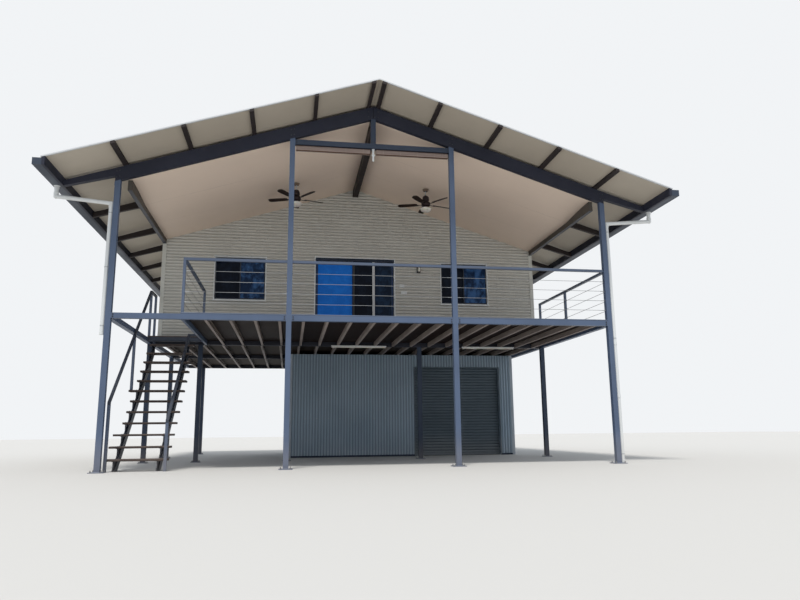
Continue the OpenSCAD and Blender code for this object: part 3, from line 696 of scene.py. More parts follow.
# %% The fixings tree
fixing_tree, fix_in, fix_out = geometry_tree(
    "fixings", [("Head", "Float", 0.006), ("Head Height", "Float", 0.006),
                ("Washer", "Float", 0.009), ("Washer Height", "Float", 0.002)])
washer = output_of(fixing_tree, "GeometryNodeMeshCylinder",
                   {"Vertices": 10, "Radius": fix_in["Washer"], "Depth": fix_in["Washer Height"]})
head = output_of(fixing_tree, "GeometryNodeMeshCylinder",
                 {"Vertices": 6, "Radius": fix_in["Head"], "Depth": fix_in["Head Height"]})
lift_by = math_node(fixing_tree, "MULTIPLY", fix_in["Head Height"], 0.5)
lift_vector = output_of(fixing_tree, "ShaderNodeCombineXYZ", {"Z": lift_by})
lifted = output_of(fixing_tree, "GeometryNodeTransform", {"Geometry": head, "Translation": lift_vector})
joined = add_node(fixing_tree, "GeometryNodeJoinGeometry")
for part in (washer, lifted):
    fixing_tree.links.new(part, joined.inputs[0])
turn_to = output_of(fixing_tree, "FunctionNodeAlignRotationToVector",
                    {"Vector": named_vector(fixing_tree, "facing")}, axis="Z")
fixed = output_of(fixing_tree, "GeometryNodeInstanceOnPoints",
                  {"Points": fix_in["Geometry"], "Instance": joined.outputs[0], "Rotation": turn_to})
finish_tree(fixing_tree, fixed, fix_in, fix_out)


def fixings(name, spots, head_size, washer_size, material):
    """Hexagon heads on washers at (point, facing) spots; the sizes are radii in metres."""
    base = base_object(name, [p for p, f in spots], facing=[tuple(f) for p, f in spots])
    piece = cast(base, fixing_tree, material,
                 {"Head": head_size, "Head Height": head_size * 1.3, "Washer": washer_size,
                  "Washer Height": head_size * 0.5})
    return settle(piece)


# %% [markdown]
# Windows, cleats and fan blades are each made once and then set at several places. The base
# holds one point for each place, with the turn it needs, and the tree copies the unit there.

# %% The places tree
place_tree, place_in, place_out = geometry_tree("at_each_place", [("Unit", "Object", None)])
unit_mesh = add_node(place_tree, "GeometryNodeObjectInfo", {"Object": place_in["Unit"]})
turn_euler = output_of(place_tree, "FunctionNodeEulerToRotation", {0: named_vector(place_tree, "turn")})
copies = output_of(place_tree, "GeometryNodeInstanceOnPoints",
                   {"Points": place_in["Geometry"], "Instance": unit_mesh.outputs["Geometry"],
                    "Rotation": turn_euler})
finish_tree(place_tree, copies, place_in, place_out)


def at_places(name, unit, places, material, replaced=(), body="house"):
    """Copies a unit object to (point, turn about Z) places and removes the unit."""
    base = base_object(name, [p for p, t in places], turn=[(0, 0, t) for p, t in places])
    piece = cast(base, place_tree, material, {"Unit": unit})
    bpy.data.objects.remove(unit)
    return settle(piece, replaced, body)


print("trees", [tree.name for tree in bpy.data.node_groups if tree.type == "GEOMETRY"])

# %% [markdown]
# Corrugated sheet follows a rule: each point moves outwards by a cosine of its height, or of
# its distance along the wall. So the flat sheet is cut first, in strips an eighth of a wave
# wide with the door and windows left out, and the tree then gives it its waves. It also
# keeps how deep in a valley each point lies, and the finish is painted darker there: mostly
# painted shade, with a little of the dust that gathers in the valleys.

# %% The wave tree
PITCH, WAVE_DEPTH, SHEET_T = 0.076, 0.017, 0.0012
wave_tree, n_in, n_out = geometry_tree(
    "corrugated_sheet", [("Pitch", "Float", PITCH), ("Depth", "Float", WAVE_DEPTH),
                         ("Along", "Vector", (0, 0, 1)), ("Outwards", "Vector", (0, -1, 0))])
position = output_of(wave_tree, "GeometryNodeInputPosition")
run = add_node(wave_tree, "ShaderNodeVectorMath", {0: position, 1: n_in["Along"]}, operation="DOT_PRODUCT")
turns = math_node(wave_tree, "DIVIDE", run.outputs["Value"], n_in["Pitch"])
wave = math_node(wave_tree, "COSINE", math_node(wave_tree, "MULTIPLY", turns, 2 * math.pi))
lift = math_node(wave_tree, "MULTIPLY", math_node(wave_tree, "ADD", wave, 1.0), 0.5)
height = math_node(wave_tree, "MULTIPLY", lift, n_in["Depth"])
offset = output_of(wave_tree, "ShaderNodeVectorMath", {0: n_in["Outwards"], "Scale": height},
                   operation="SCALE")
moved = output_of(wave_tree, "GeometryNodeSetPosition", {"Geometry": n_in["Geometry"], "Offset": offset})
# Painted shade: how deep each point lies in a valley, for the finishes to darken.
valley = math_node(wave_tree, "POWER", math_node(wave_tree, "SUBTRACT", 1.0, lift), 2.0)
stored = output_of(wave_tree, "GeometryNodeStoreNamedAttribute",
                   {"Geometry": moved, "Name": "valley", "Value": valley},
                   data_type="FLOAT", domain="POINT")
finish_tree(wave_tree, stored, n_in, n_out)


# %% Cutting a flat sheet in strips
def strip_mesh(name, u0, u1, holes, limits, place):
    """A flat sheet in rows of an eighth of a wave: rows run in u, and limits(u) gives the
    sheet's ends in v. holes are (u0, u1, v0, v1). place(u, v) gives the 3D point."""
    step, sliver = PITCH / 8, 1e-4
    cuts = {u0, u1, *(edge for hole in holes for edge in hole[:2])}
    cuts |= {round(k * step, 6) for k in range(math.ceil(u0 / step), math.ceil(u1 / step))}
    cuts = sorted(c for c in cuts if u0 <= c <= u1)
    rows = [c for i, c in enumerate(cuts) if i == 0 or c - cuts[i - 1] > sliver or c in (u0, u1)]
    vertices, faces = [], []
    for a, b in zip(rows, rows[1:]):
        cut_holes = [hole for hole in sorted(holes, key=lambda h: h[2]) if hole[0] < (a + b) / 2 < hole[1]]
        edges = [v for hole in cut_holes for v in hole[2:]]
        ends_a, ends_b = limits(a), limits(b)
        spans_a, spans_b = [ends_a[0], *edges, ends_a[1]], [ends_b[0], *edges, ends_b[1]]
        for i in range(0, len(spans_a), 2):
            if max(spans_a[i + 1] - spans_a[i], spans_b[i + 1] - spans_b[i]) >= sliver:
                faces.append(tuple(len(vertices) + corner for corner in range(4)))
                vertices += [place(a, spans_a[i]), place(a, spans_a[i + 1]),
                             place(b, spans_b[i + 1]), place(b, spans_b[i])]
    return new_piece(name, vertices, faces, wall_paint)


def corrugate(base, along, outwards, material):
    """Waves a flat sheet, joins its strips and gives it a thin back."""
    piece = cast(base, wave_tree, material, {"Along": along, "Outwards": outwards})
    work = bmesh.new()
    work.from_mesh(piece.data)
    bmesh.ops.remove_doubles(work, verts=work.verts, dist=MERGE)
    out = Vector(outwards)
    for face in work.faces:
        if face.normal.dot(out) < 0:
            face.normal_flip()
    bmesh.ops.solidify(work, geom=work.faces[:], thickness=SHEET_T)
    for face in work.faces:
        face.smooth = True
    for line in work.edges:
        line.smooth = not (len(line.link_faces) == 2 and line.calc_face_angle(0) > SHEET_SHARP)
    work.to_mesh(piece.data)
    work.free()
    return settle(piece)


# %% The openings
HEAD_Z = 4.870
DOOR_W = 2.000
WINDOW_W, WINDOW_H = 1.220, 1.070
WINDOW_X = 2.800
SILL_Z = HEAD_Z - WINDOW_H
SIDE_WINDOW_YS = [WALL_Y + HOUSE_D * 0.27, WALL_Y + HOUSE_D * 0.73]
SHEET_GAP = 0.002
GABLE_TOP = RIDGE_Z - LINING_DROP - SHEET_GAP
EAVE_TOP = RIDGE_Z - LINING_DROP - WALL_X * SLOPE - SHEET_GAP
FOOT_Z = DECK_TOP + 0.004


def gable_limits(z):
    """The gable wall's left and right ends at a height, under the sloping lining."""
    half = min(WALL_X, (RIDGE_Z - LINING_DROP - z) / SLOPE)
    return -half, half


def window_hole(centre):
    """The limits of a window's opening, upwards and then across."""
    return (SILL_Z, HEAD_Z, centre - WINDOW_W / 2, centre + WINDOW_W / 2)


print("openings up to", HEAD_Z, "and sills at", round(SILL_Z, 3))

# %% Upper wall sheets, with level corrugations
window_holes = [window_hole(x) for x in (-WINDOW_X, WINDOW_X)]
front_holes = window_holes + [(FOOT_Z, HEAD_Z, -DOOR_W / 2, DOOR_W / 2)]
side_holes = [window_hole(y) for y in SIDE_WINDOW_YS]
UP = (0, 0, 1)
for name, way, wall_y, holes in (("front_wall_sheet", -1, WALL_Y, front_holes),
                                 ("back_wall_sheet", 1, BACK_Y, window_holes)):
    flat = strip_mesh(name, FOOT_Z, GABLE_TOP, holes, gable_limits,
                      lambda z, x, y=wall_y + way * SHEET_GAP: (x, y, z))
    corrugate(flat, UP, (0, way, 0), wall_paint)
for side, name in zip(SIDES, ("left_wall_sheet", "right_wall_sheet")):
    flat = strip_mesh(name, FOOT_Z, EAVE_TOP, side_holes, lambda z: (WALL_Y, BACK_Y),
                      lambda z, y, x=side * (WALL_X + SHEET_GAP): (x, y, z))
    corrugate(flat, UP, (side, 0, 0), wall_paint)
print("wall sheets from", round(FOOT_Z, 3), "to", round(GABLE_TOP, 3))

# %% Store room sheets, with upright corrugations
store_low, store_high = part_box("store_front_wall")
STORE_X0, STORE_X1, STORE_Y, STORE_TOP = store_low.x, store_high.x, store_low.y, store_high.z
STORE_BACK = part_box("store_back_wall")[1].y
SHUTTER_W, SHUTTER_H = 2.370, 2.350
SHUTTER_X = STORE_X1 - 0.380 - SHUTTER_W / 2
SHUTTER_X0, SHUTTER_X1 = SHUTTER_X - SHUTTER_W / 2, SHUTTER_X + SHUTTER_W / 2
store_hole = (SHUTTER_X0, SHUTTER_X1, 0.0, SHUTTER_H)
store_ends = (0.004, STORE_TOP - 0.002)
for name, way, wall_y, holes in (("store_front_sheet", -1, STORE_Y, [store_hole]),
                                 ("store_back_sheet", 1, STORE_BACK, [])):
    flat = strip_mesh(name, STORE_X0, STORE_X1, holes, lambda u: store_ends,
                      lambda x, z, y=wall_y + way * SHEET_GAP: (x, y, z))
    corrugate(flat, (1, 0, 0), (0, way, 0), store_paint)
for side, name, wall_x in ((-1, "store_left_sheet", STORE_X0), (1, "store_right_sheet", STORE_X1)):
    flat = strip_mesh(name, STORE_Y, STORE_BACK, [], lambda u: store_ends,
                      lambda y, z, x=wall_x + side * SHEET_GAP: (x, y, z))
    corrugate(flat, (0, 1, 0), (side, 0, 0), store_paint)
print("store sheets to", round(STORE_TOP, 3))

# %% [markdown]
# A cut edge of corrugated sheet is never left open. Folded trims cover it: an angle at each
# corner, and a dark flashing along the foot of the front wall. They stand a little prouder
# than the waves, so that the waves end against them. The windows and the door bring frames of
# their own that do the same.

# %% Wall trims
PROUD = 0.023
WALL_LEG, STORE_LEG = 0.070, 0.055
CORNER_TOP = EAVE_TOP - 0.004
FLASHING_H = 0.058


def corner_trims(name, face_xs, face_ys, leg, foot_z, top_z, paint, replaced=()):
    """Angles at four corners, whose legs run back along both walls."""
    corners = Shapes()
    for turn_x, x in zip(SIDES, face_xs):
        for turn_y, y in zip(SIDES, face_ys):
            out_x, out_y = x + turn_x * PROUD, y + turn_y * PROUD
            back_x, back_y = x - turn_x * leg, y - turn_y * leg
            corners.extrude([(out_x, out_y), (back_x, out_y), (back_x, y), (x, y), (x, back_y),
                             (out_x, back_y)], along_z, foot_z, top_z)
    settle(bevel(corners.piece(name, paint), 0.003), replaced)


corner_trims("wall_corner_trims", (-WALL_X, WALL_X), (WALL_Y, BACK_Y), WALL_LEG, FOOT_Z - 0.003,
             CORNER_TOP, trim_paint, ["corner_trims"])
corner_trims("store_corner_trims", (STORE_X0, STORE_X1), (STORE_Y, STORE_BACK), STORE_LEG, 0.0,
             STORE_TOP - 0.003, store_trim_paint)
flashing_end = DOOR_W / 2 + 0.045
foot_spans = [(-WALL_X + WALL_LEG, -flashing_end), (flashing_end, WALL_X - WALL_LEG)]
bars("wall_foot_flashing", across(foot_spans, WALL_Y - PROUD / 2, FOOT_Z + FLASHING_H / 2),
     PROUD + 0.002, FLASHING_H, band_paint, 0.003)
print("corner trims up to", round(CORNER_TOP, 3))

# %% [markdown]
# Each window slides. It has a white outer frame whose flange covers the sheet's cut edge, and
# two dark sashes, the fixed one on the right and the sliding one behind it on the left, with a
# sill tray below and a thin flashing above. It is drawn once, standing at the origin and
# facing the front. X runs across, Y into the wall, and Z up from the bottom of the opening.

# %% One window
SASH_FACE = 0.026
FLANGE = 0.012
SASH_HALF, SASH_HIGH = WINDOW_W / 2 - 0.014, WINDOW_H - 0.015
PANE_FOOT, PANE_LAP, PANE_T = 0.050, 0.008, 0.005


def window_frame_unit():
    """The frame with its flange, the sill tray below and the flashing above."""
    half, top = WINDOW_W / 2, WINDOW_H
    shapes = Shapes()
    shapes.frame((-half - FLANGE, -PROUD - 0.003, -FLANGE), (half + FLANGE, -0.001, top + FLANGE), 0.020)
    shapes.frame((-half + 0.001, 0.0, 0.001), (half - 0.001, 0.085, top - 0.001), 0.014, 0.020)
    shapes.box((-half - 0.03, -0.062, -0.030), (half + 0.03, -PROUD - 0.003, -0.012))
    shapes.box((-half - 0.03, -0.040, top + 0.014), (half + 0.03, -PROUD - 0.003, top + 0.020))
    return bevel(shapes.piece("window_frame_unit", white_powder), 0.0018)


def window_sash_unit():
    """The fixed sash on the right, the sliding one behind it on the left, and its pull."""
    shapes = Shapes()
    shapes.frame((-SASH_HALF, 0.046, 0.020), (0.016, 0.068, SASH_HIGH), SASH_FACE, 0.036)
    shapes.frame((-0.016, 0.016, 0.020), (SASH_HALF, 0.038, SASH_HIGH), SASH_FACE, 0.036)
    shapes.box((-0.012, 0.006, 0.0), (0.006, 0.018, 0.090), (0.0, 0.0, SASH_HIGH * 0.46))
    return bevel(shapes.piece("window_sash_unit", sash_dark), 0.0018)


def pane_unit(x0, x1, y):
    """A thin pane whose edges lie inside the sash's grooves."""
    shapes = Shapes()
    shapes.box((x0, y, PANE_FOOT), (x1, y + PANE_T, SASH_HIGH - SASH_FACE + PANE_LAP))
    return bevel(shapes.piece("pane_unit", dark_pane), 0.001)


# %% Windows in their places
quarter = math.pi / 2
window_places = [((s * WINDOW_X, WALL_Y, SILL_Z), 0.0) for s in SIDES]
window_places += [((s * WINDOW_X, BACK_Y, SILL_Z), 2 * quarter) for s in SIDES]
window_places += [((s * WALL_X, y, SILL_Z), s * quarter) for s in SIDES for y in SIDE_WINDOW_YS]
pane_half = SASH_HALF - SASH_FACE + PANE_LAP
at_places("window_outer_frames", window_frame_unit(), window_places, white_powder,
          ["window_frames"])
at_places("window_sashes", window_sash_unit(), window_places, sash_dark)
at_places("window_panes_left", pane_unit(-pane_half, -0.006, 0.055), window_places, dark_pane,
          ["window_glass"])
at_places("window_panes_right", pane_unit(0.006, pane_half, 0.025), window_places, blue_pane)
print("windows", len(window_places))

# %% [markdown]
# The glazed sliding door has a white frame that reaches above the opening, with a dark band
# inside its head: a painted shadow, where the flashing shades the head. Behind it stand one
# wide panel on the left, whose glass shows bright blue, and two narrow dark panels. The
# stiles are dark blue, and a broad white mullion stands between the two narrow panels.

# %% The sliding door
HEAD_BAND = 0.072
LEFT_STILE, RIGHT_STILE = -0.045, 0.440
SASH_X = DOOR_W / 2 - 0.020
SASH_FOOT, SASH_TOP = DECK_TOP + 0.044, HEAD_Z - 0.018
door = Shapes()
door.frame((-DOOR_W / 2 - 0.012, WALL_Y - PROUD - 0.004, DECK_TOP),
           (DOOR_W / 2 + 0.012, WALL_Y - 0.001, HEAD_Z + HEAD_BAND), 0.026, 0.030)
door.frame((-DOOR_W / 2 + 0.001, WALL_Y, DECK_TOP + 0.001),
           (DOOR_W / 2 - 0.001, WALL_Y + 0.100, HEAD_Z - 0.001), 0.018, 0.042)
settle(bevel(door.piece("door_outer_frame", white_powder), 0.002), ["door_frame"])

outer_panels, middle_panel = Shapes(), Shapes()
for x0, x1 in ((RIGHT_STILE, SASH_X), (-SASH_X, LEFT_STILE + 0.034)):
    outer_panels.frame((x0, WALL_Y + 0.050, SASH_FOOT), (x1, WALL_Y + 0.076, SASH_TOP), 0.060, 0.075)
middle_panel.frame((LEFT_STILE, WALL_Y + 0.020, SASH_FOOT),
                   (RIGHT_STILE + 0.030, WALL_Y + 0.046, SASH_TOP), 0.036, 0.075)
settle(bevel(outer_panels.piece("door_outer_panels", stile_blue), 0.002))
settle(bevel(middle_panel.piece("door_middle_panel", stile_blue), 0.002))

mullion, interlock = Shapes(), Shapes()
mullion_outline = [(-0.006, 0.018), (0.002, 0.010), (0.050, 0.010), (0.058, 0.018), (0.058, 0.049),
                   (0.031, 0.049), (0.031, 0.019)]
mullion.extrude([(RIGHT_STILE + dx, WALL_Y + dy) for dx, dy in mullion_outline], along_z,
                SASH_FOOT, SASH_TOP)
interlock.box((LEFT_STILE - 0.004, WALL_Y + 0.014, SASH_FOOT + 0.004),
              (LEFT_STILE + 0.034, WALL_Y + 0.020, SASH_TOP - 0.004))
interlock.box((-0.002, 0.002, 0.930), (0.018, 0.014, 1.130), (LEFT_STILE, WALL_Y, DECK_TOP))
settle(bevel(mullion.piece("door_mullion", sash_powder), 0.0015))
settle(bevel(interlock.piece("door_interlock_and_handle", black_plastic), 0.003, 2))

# %% Door panes and the painted shadow at the head
door_panes = [("door_pane_blue", -SASH_X + 0.052, LEFT_STILE - 0.018, 0.061, bright_pane, ["door_glass"]),
              ("door_pane_middle", LEFT_STILE + 0.028, RIGHT_STILE + 0.002, 0.031, dark_pane, []),
              ("door_pane_right", RIGHT_STILE + 0.052, SASH_X - 0.052, 0.061, night_pane, [])]
for name, x0, x1, depth, material, replaced in door_panes:
    glass = Shapes()
    glass.box((x0, WALL_Y + depth, SASH_FOOT + 0.067), (x1, WALL_Y + depth + 0.006, SASH_TOP - 0.028))
    settle(bevel(glass.piece(name, material), 0.001), replaced)
# Painted shadow: a dark band across the head of the door frame, where the flashing shades it.
head_x = DOOR_W / 2 - 0.013
head_runs = across([(-head_x, head_x)], WALL_Y - PROUD / 2 - 0.002, HEAD_Z + (HEAD_BAND - 0.052) / 2)
bars("door_head_band", head_runs, PROUD + 0.002, HEAD_BAND, band_paint)
print("door height", round(HEAD_Z - DECK_TOP, 3))

# %% [markdown]
# The deck is laid with boards across the joists. They run left to right in rows, with a
# small gap between rows, and the ends of the boards meet over a joist, a different one in
# each row. A steel angle closes the front edge and stops at each steel post. Every board has
# its own tone, because no two boards come from the same log.

# %% Deck boards
BOARD_T = DECK_TOP - BEAM_TOP
BOARD_Z = (DECK_TOP + BEAM_TOP) / 2
DECK_RIGHT = POST_X + POST / 2
JOIST_X0, JOIST_STEP = DECK_LEFT + 0.430, 0.450
JOISTS_A_BOARD = 8
ROW_COUNT = 25
ROW_Y0 = behind(POST / 2)
ROW_STEP = (WALL_Y - ROW_Y0) / ROW_COUNT
ROW_YS = [ROW_Y0 + (row + 0.5) * ROW_STEP for row in range(ROW_COUNT)]
BOARD_GAP = 0.005
END_GAP_HALF = 0.0015
board_runs = []
for row, y in enumerate(ROW_YS):
    ends = [DECK_LEFT]
    joint = JOIST_X0 + JOIST_STEP * (1 + (row * 5) % JOISTS_A_BOARD)
    while joint < DECK_RIGHT - 0.6:
        ends += [joint - END_GAP_HALF, joint + END_GAP_HALF]
        joint += JOISTS_A_BOARD * JOIST_STEP
    ends.append(DECK_RIGHT)
    board_runs += across(zip(ends[::2], ends[1::2]), y, BOARD_Z)
bars("deck_boards", board_runs, ROW_STEP - BOARD_GAP, BOARD_T, deck_timber, 0.003, ["deck"])
print("deck boards", len(board_runs), "rows", ROW_COUNT)

# %% Deck edge and stair landing
post_gap = POST / 2 + 0.003
edge_spans = [(DECK_LEFT, -INNER_X - post_gap), (-INNER_X + post_gap, INNER_X - post_gap),
              (INNER_X + post_gap, POST_X - post_gap)]
bars("deck_edge_angles", across(edge_spans, behind(0.0), BOARD_Z), POST - BOARD_GAP, BOARD_T,
     rail_paint, 0.003)
LANDING_X0, LANDING_Y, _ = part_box("stair_landing")[0]
landing_rows = 4
landing_step = (WALL_Y - LANDING_Y) / landing_rows
landing_runs = []
for i in range(landing_rows):
    landing_runs += across([(LANDING_X0, DECK_LEFT - 0.004)], LANDING_Y + (i + 0.5) * landing_step, BOARD_Z)
bars("landing_boards", landing_runs, landing_step - BOARD_GAP, BOARD_T, tread_timber, 0.003,
     ["stair_landing"])
header_runs = across([(LANDING_X0, DECK_LEFT)], LANDING_Y + 0.025, (BEAM_BOTTOM + BEAM_TOP) / 2)
bars("landing_header", header_runs, 0.050, BEAM_TOP - BEAM_BOTTOM, stair_paint, 0.004)
print("landing boards", landing_rows)

# %% [markdown]
# Deck screws: two through each board at every joist. They are countersunk on the real deck,
# so here they are small heads that stand less than three millimetres proud.

# %% Deck screws
SCREW_SHIFTS = (-0.045, 0.045)
deck_screw_spots = []
for row_y in ROW_YS:
    for k in range(-1, 18):
        x = JOIST_X0 + k * JOIST_STEP
        if DECK_LEFT + 0.05 < x < DECK_RIGHT - 0.05:
            deck_screw_spots += [((x, row_y + shift, DECK_TOP), UP) for shift in SCREW_SHIFTS]
fixings("deck_screws", deck_screw_spots, 0.0022, 0.0045, bolt_zinc)
print("deck screws", len(deck_screw_spots))

# %% [markdown]
# Each step of the stair is two planks side by side on the steel brackets, with a coach bolt
# through each plank over each stringer. The lowest three steps, and the one that carries the
# middle rail post, reach further left than the others.

# %% Stair treads
RISES, GOING = 13, 0.2475
RISE = DECK_TOP / RISES
treads_low, treads_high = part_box("stair_treads")
TREAD_X0, TREAD_X1 = treads_low.x, treads_high.x
TREAD_T, TREAD_D = 0.038, 0.238
SHORT_BY = 0.095
LONG_TREADS = (1, 2, 3, 7)
STRINGER_X = (TREAD_X0 + SHORT_BY + 0.050, TREAD_X1 - 0.170)
plank_w = (TREAD_D - 0.008) / 2
plank_runs, tread_bolt_spots = [], []
for k in range(1, RISES):
    x0 = TREAD_X0 if k in LONG_TREADS else TREAD_X0 + SHORT_BY
    front = treads_low.y + (k - 1) * GOING
    for y in (front + plank_w / 2, front + TREAD_D - plank_w / 2):
        plank_runs += across([(x0, TREAD_X1)], y, k * RISE - TREAD_T / 2)
        tread_bolt_spots += [((x, y, k * RISE), UP) for x in STRINGER_X]
bars("stair_tread_planks", plank_runs, plank_w, TREAD_T, tread_timber, 0.005, ["stair_treads"])
fixings("tread_bolts", tread_bolt_spots, 0.007, 0.013, bolt_zinc)
print("treads", RISES - 1, "planks", len(plank_runs))

# %% [markdown]
# The ceiling lining is a smooth painted sheet below the rafters on both sides of the ridge
# beam. Behind the front rafter it rises gently, so that its edge meets the rafter's lower
# edge and no step shows from below. The surface is a grid of heights: across the slope it is
# straight, and from front to back it follows a smooth curve and then runs level. Where it
# lies above the eave beams, thin wedges close the gap.

# %% Ceiling lining
LINING_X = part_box("eave_beams")[1].x
LINING_Y0 = behind(0.055)
EAVE_BEAM_W = 0.080
RIDGE_BEAM_HALF = 0.0625
FRONT_DROP = 0.268
RISE_LENGTH, RISE_STEPS = 1.75, 8
SLOPE_STEPS = 10


def lining_drop(y):
    """How far the lining's underside lies below the rafters' top edge."""
    t = min(1.0, max(0.0, (y - LINING_Y0) / RISE_LENGTH))
    return FRONT_DROP + (LINING_DROP - FRONT_DROP) * t * t * (3 - 2 * t)


rise_ys = [LINING_Y0 + RISE_LENGTH * i / RISE_STEPS for i in range(RISE_STEPS + 1)]
lining_ys = rise_ys + [behind(3.0), behind(6.0), BACK_Y]
lining_run = LINING_X - RIDGE_BEAM_HALF
lining_xs = [RIDGE_BEAM_HALF + lining_run * i / SLOPE_STEPS for i in range(SLOPE_STEPS + 1)]
lining = Shapes()
for turn_x in SIDES:
    rows = len(lining_ys)
    grid = [(turn_x * x, y, rafter_z(x) - lining_drop(y)) for x in lining_xs for y in lining_ys]
    corners = [i * rows + j for i in range(SLOPE_STEPS) for j in range(rows - 1)]
    lining.add(grid, [(c, c + 1, c + rows + 1, c + rows) for c in corners])
lining_piece = new_piece("ceiling_boards", lining.vertices, lining.faces, lining_paint)
work = bmesh.new()
work.from_mesh(lining_piece.data)
bmesh.ops.recalc_face_normals(work, faces=work.faces)
for face in work.faces:
    if face.normal.z > 0:
        face.normal_flip()
bmesh.ops.solidify(work, geom=work.faces[:], thickness=0.010)
work.to_mesh(lining_piece.data)
work.free()
settle(smooth(outward(lining_piece), 0.5), ["ceiling_lining"])

wedges = Shapes()
for turn_x in SIDES:
    upper = [(y, rafter_z(LINING_X) - lining_drop(y) + 0.002) for y in rise_ys]
    lower = [(y, rafter_z(LINING_X) - LINING_DROP - 0.004) for y in (rise_ys[-1], rise_ys[0])]
    x0, x1 = sorted((turn_x * (LINING_X - EAVE_BEAM_W + 0.001), turn_x * (LINING_X - 0.001)))
    wedges.extrude(upper + lower, along_x, x0, x1)
settle(wedges.piece("eave_beam_wedges", eave_paint))
print("lining out to x", round(LINING_X, 3))

# %% [markdown]
# The ceiling fans have a still part, which hangs from the lining, and a rotor, which turns.
# The still part is a canopy, a rod, a bell over the motor and a lamp below it. The rotor is a
# ring-shaped motor housing around the rod, five blade irons and five blades. The rotor rides
# on the fan's own body, so that it turns with its joint.

# %% Blades and blade irons
FAN_X, FAN_Y, FAN_Z = 1.500, behind(2.130), 5.860
BLADES, FIRST_BLADE = 5, 18
BLADE_PITCH = math.radians(12)


def blade_unit():
    """A slim cambered blade with a rounded tip, lying along X from the hub."""
    stations = [(0.205, 0.046), (0.260, 0.058), (0.380, 0.064), (0.500, 0.068), (0.590, 0.068),
                (0.625, 0.061), (0.646, 0.044), (0.657, 0.022)]
    half_t, camber, thinning = 0.003, 0.006, 0.55
    across_blade = [-1.0, -0.55, 0.0, 0.55, 1.0]
    points, faces = [], []
    for x, half in stations:
        for top in (1, -1):
            for a in across_blade:
                z = camber * (1 - a * a) + top * half_t * (1 - thinning * a * a)
                y = a * half
                points.append((x, y * math.cos(BLADE_PITCH) - z * math.sin(BLADE_PITCH),
                               y * math.sin(BLADE_PITCH) + z * math.cos(BLADE_PITCH)))
    n = len(across_blade)
    ring = 2 * n
    for i in range(len(stations) - 1):
        for j in range(n - 1):
            a, b = i * ring + j, i * ring + j + 1
            faces += [(a, b, b + ring, a + ring), (a + n, a + n + ring, b + n + ring, b + n)]
        for j in (0, n - 1):
            a = i * ring + j
            faces.append((a, a + ring, a + n + ring, a + n))
    last = (len(stations) - 1) * ring
    for start in (0, last):
        faces.append(tuple(start + j for j in range(n)) + tuple(start + n + j for j in reversed(range(n))))
    return smooth(outward(new_piece("blade_unit", points, faces, blade_timber)), 0.8)


def iron_unit():
    """A blade iron: a flat arm from the motor that forks over the blade's root."""
    shapes = Shapes()
    half_arm = [(0.092, -0.016), (0.150, -0.011), (0.205, -0.034), (0.262, -0.026)]
    arm = half_arm + [(0.240, 0.0)] + [(a, -b) for a, b in reversed(half_arm)]
    tilt = math.tan(BLADE_PITCH)
    shapes.extrude(arm, lambda a, b, c: (a, b, c + (b * tilt if a > 0.18 else 0.0)), -0.014, -0.009)
    for x, y in ((0.222, -0.022), (0.222, 0.022), (0.246, 0.0)):
        shapes.turned((x, y, y * tilt), [(0.0045, -0.018), (0.0045, -0.013)], 8)
    return bevel(shapes.piece("iron_unit", fan_bronze), 0.0015)


# %% Fan rotors
motor_profile = [(0.016, 0.062), (0.040, 0.066), (0.062, 0.058), (0.092, 0.046), (0.103, 0.034),
                 (0.105, 0.022), (0.098, 0.019), (0.098, 0.008), (0.105, 0.005), (0.105, -0.024),
                 (0.098, -0.036), (0.074, -0.045), (0.016, -0.045)]
VENTS, VENT_R = 24, 0.101
for turn_x, label in zip(SIDES, ("left", "right")):
    hub = (turn_x * FAN_X, FAN_Y, FAN_Z)
    body = label + "_fan"
    rotor = Shapes()
    rotor.turned(hub, motor_profile, 48, closed=True)
    for k in range(VENTS):
        angle = 2 * math.pi * k / VENTS
        x, y = hub[0] + VENT_R * math.cos(angle), hub[1] + VENT_R * math.sin(angle)
        rotor.turned((x, y, hub[2] + 0.0135), [(0.003, -0.006), (0.003, 0.006)], 6)
    motor = smooth(rotor.piece(body + "_motor", fan_bronze), TURNED_SHARP)
    settle(motor, ["fan_" + label], body)
    turns_round = [(hub, math.radians(FIRST_BLADE + 360 / BLADES * k)) for k in range(BLADES)]
    at_places(body + "_blades", blade_unit(), turns_round, blade_timber, (), body)
    at_places(body + "_irons", iron_unit(), turns_round, fan_bronze, (), body)
print("fan hubs at z", FAN_Z)

# %% Fan canopies, rods, bells and lamps
CANOPY_Z = rafter_z(FAN_X) - lining_drop(FAN_Y)
LAMP_Z = FAN_Z - 0.062
canopy_profile = [(0.018, -0.078), (0.050, -0.072), (0.062, -0.050), (0.070, -0.032), (0.070, -0.026)]
lamp_cap_profile = [(0.030, 0.006), (0.062, 0.000), (0.064, -0.034), (0.050, -0.040)]
bell_profile = [(0.014, 0.072), (0.070, 0.073), (0.077, 0.082), (0.080, 0.110), (0.079, 0.150),
                (0.070, 0.182), (0.048, 0.202), (0.024, 0.212), (0.014, 0.216)]
globe_profile = [(0.100, 0.0), (0.126, -0.004), (0.134, -0.016), (0.130, -0.036), (0.112, -0.062),
                 (0.080, -0.084), (0.040, -0.097), (0.004, -0.100)]
canopies, rods_down, bells, globes = Shapes(), Shapes(), Shapes(), Shapes()
for turn_x in SIDES:
    x = turn_x * FAN_X
    canopies.turned((x, FAN_Y, CANOPY_Z), canopy_profile, 40)
    rods_down.turned((x, FAN_Y, 0.0), [(0.013, LAMP_Z - 0.010), (0.013, CANOPY_Z - 0.030)], 20)
    bells.turned((x, FAN_Y, FAN_Z), bell_profile, 40)
    canopies.turned((x, FAN_Y, LAMP_Z), lamp_cap_profile, 40)
    globes.turned((x, FAN_Y, LAMP_Z - 0.030), globe_profile, 48)
settle(smooth(canopies.piece("fan_canopies", canopy_bronze), TURNED_SHARP), ["fan_mounts"])
settle(smooth(rods_down.piece("fan_rods", zinc), TURNED_SHARP))
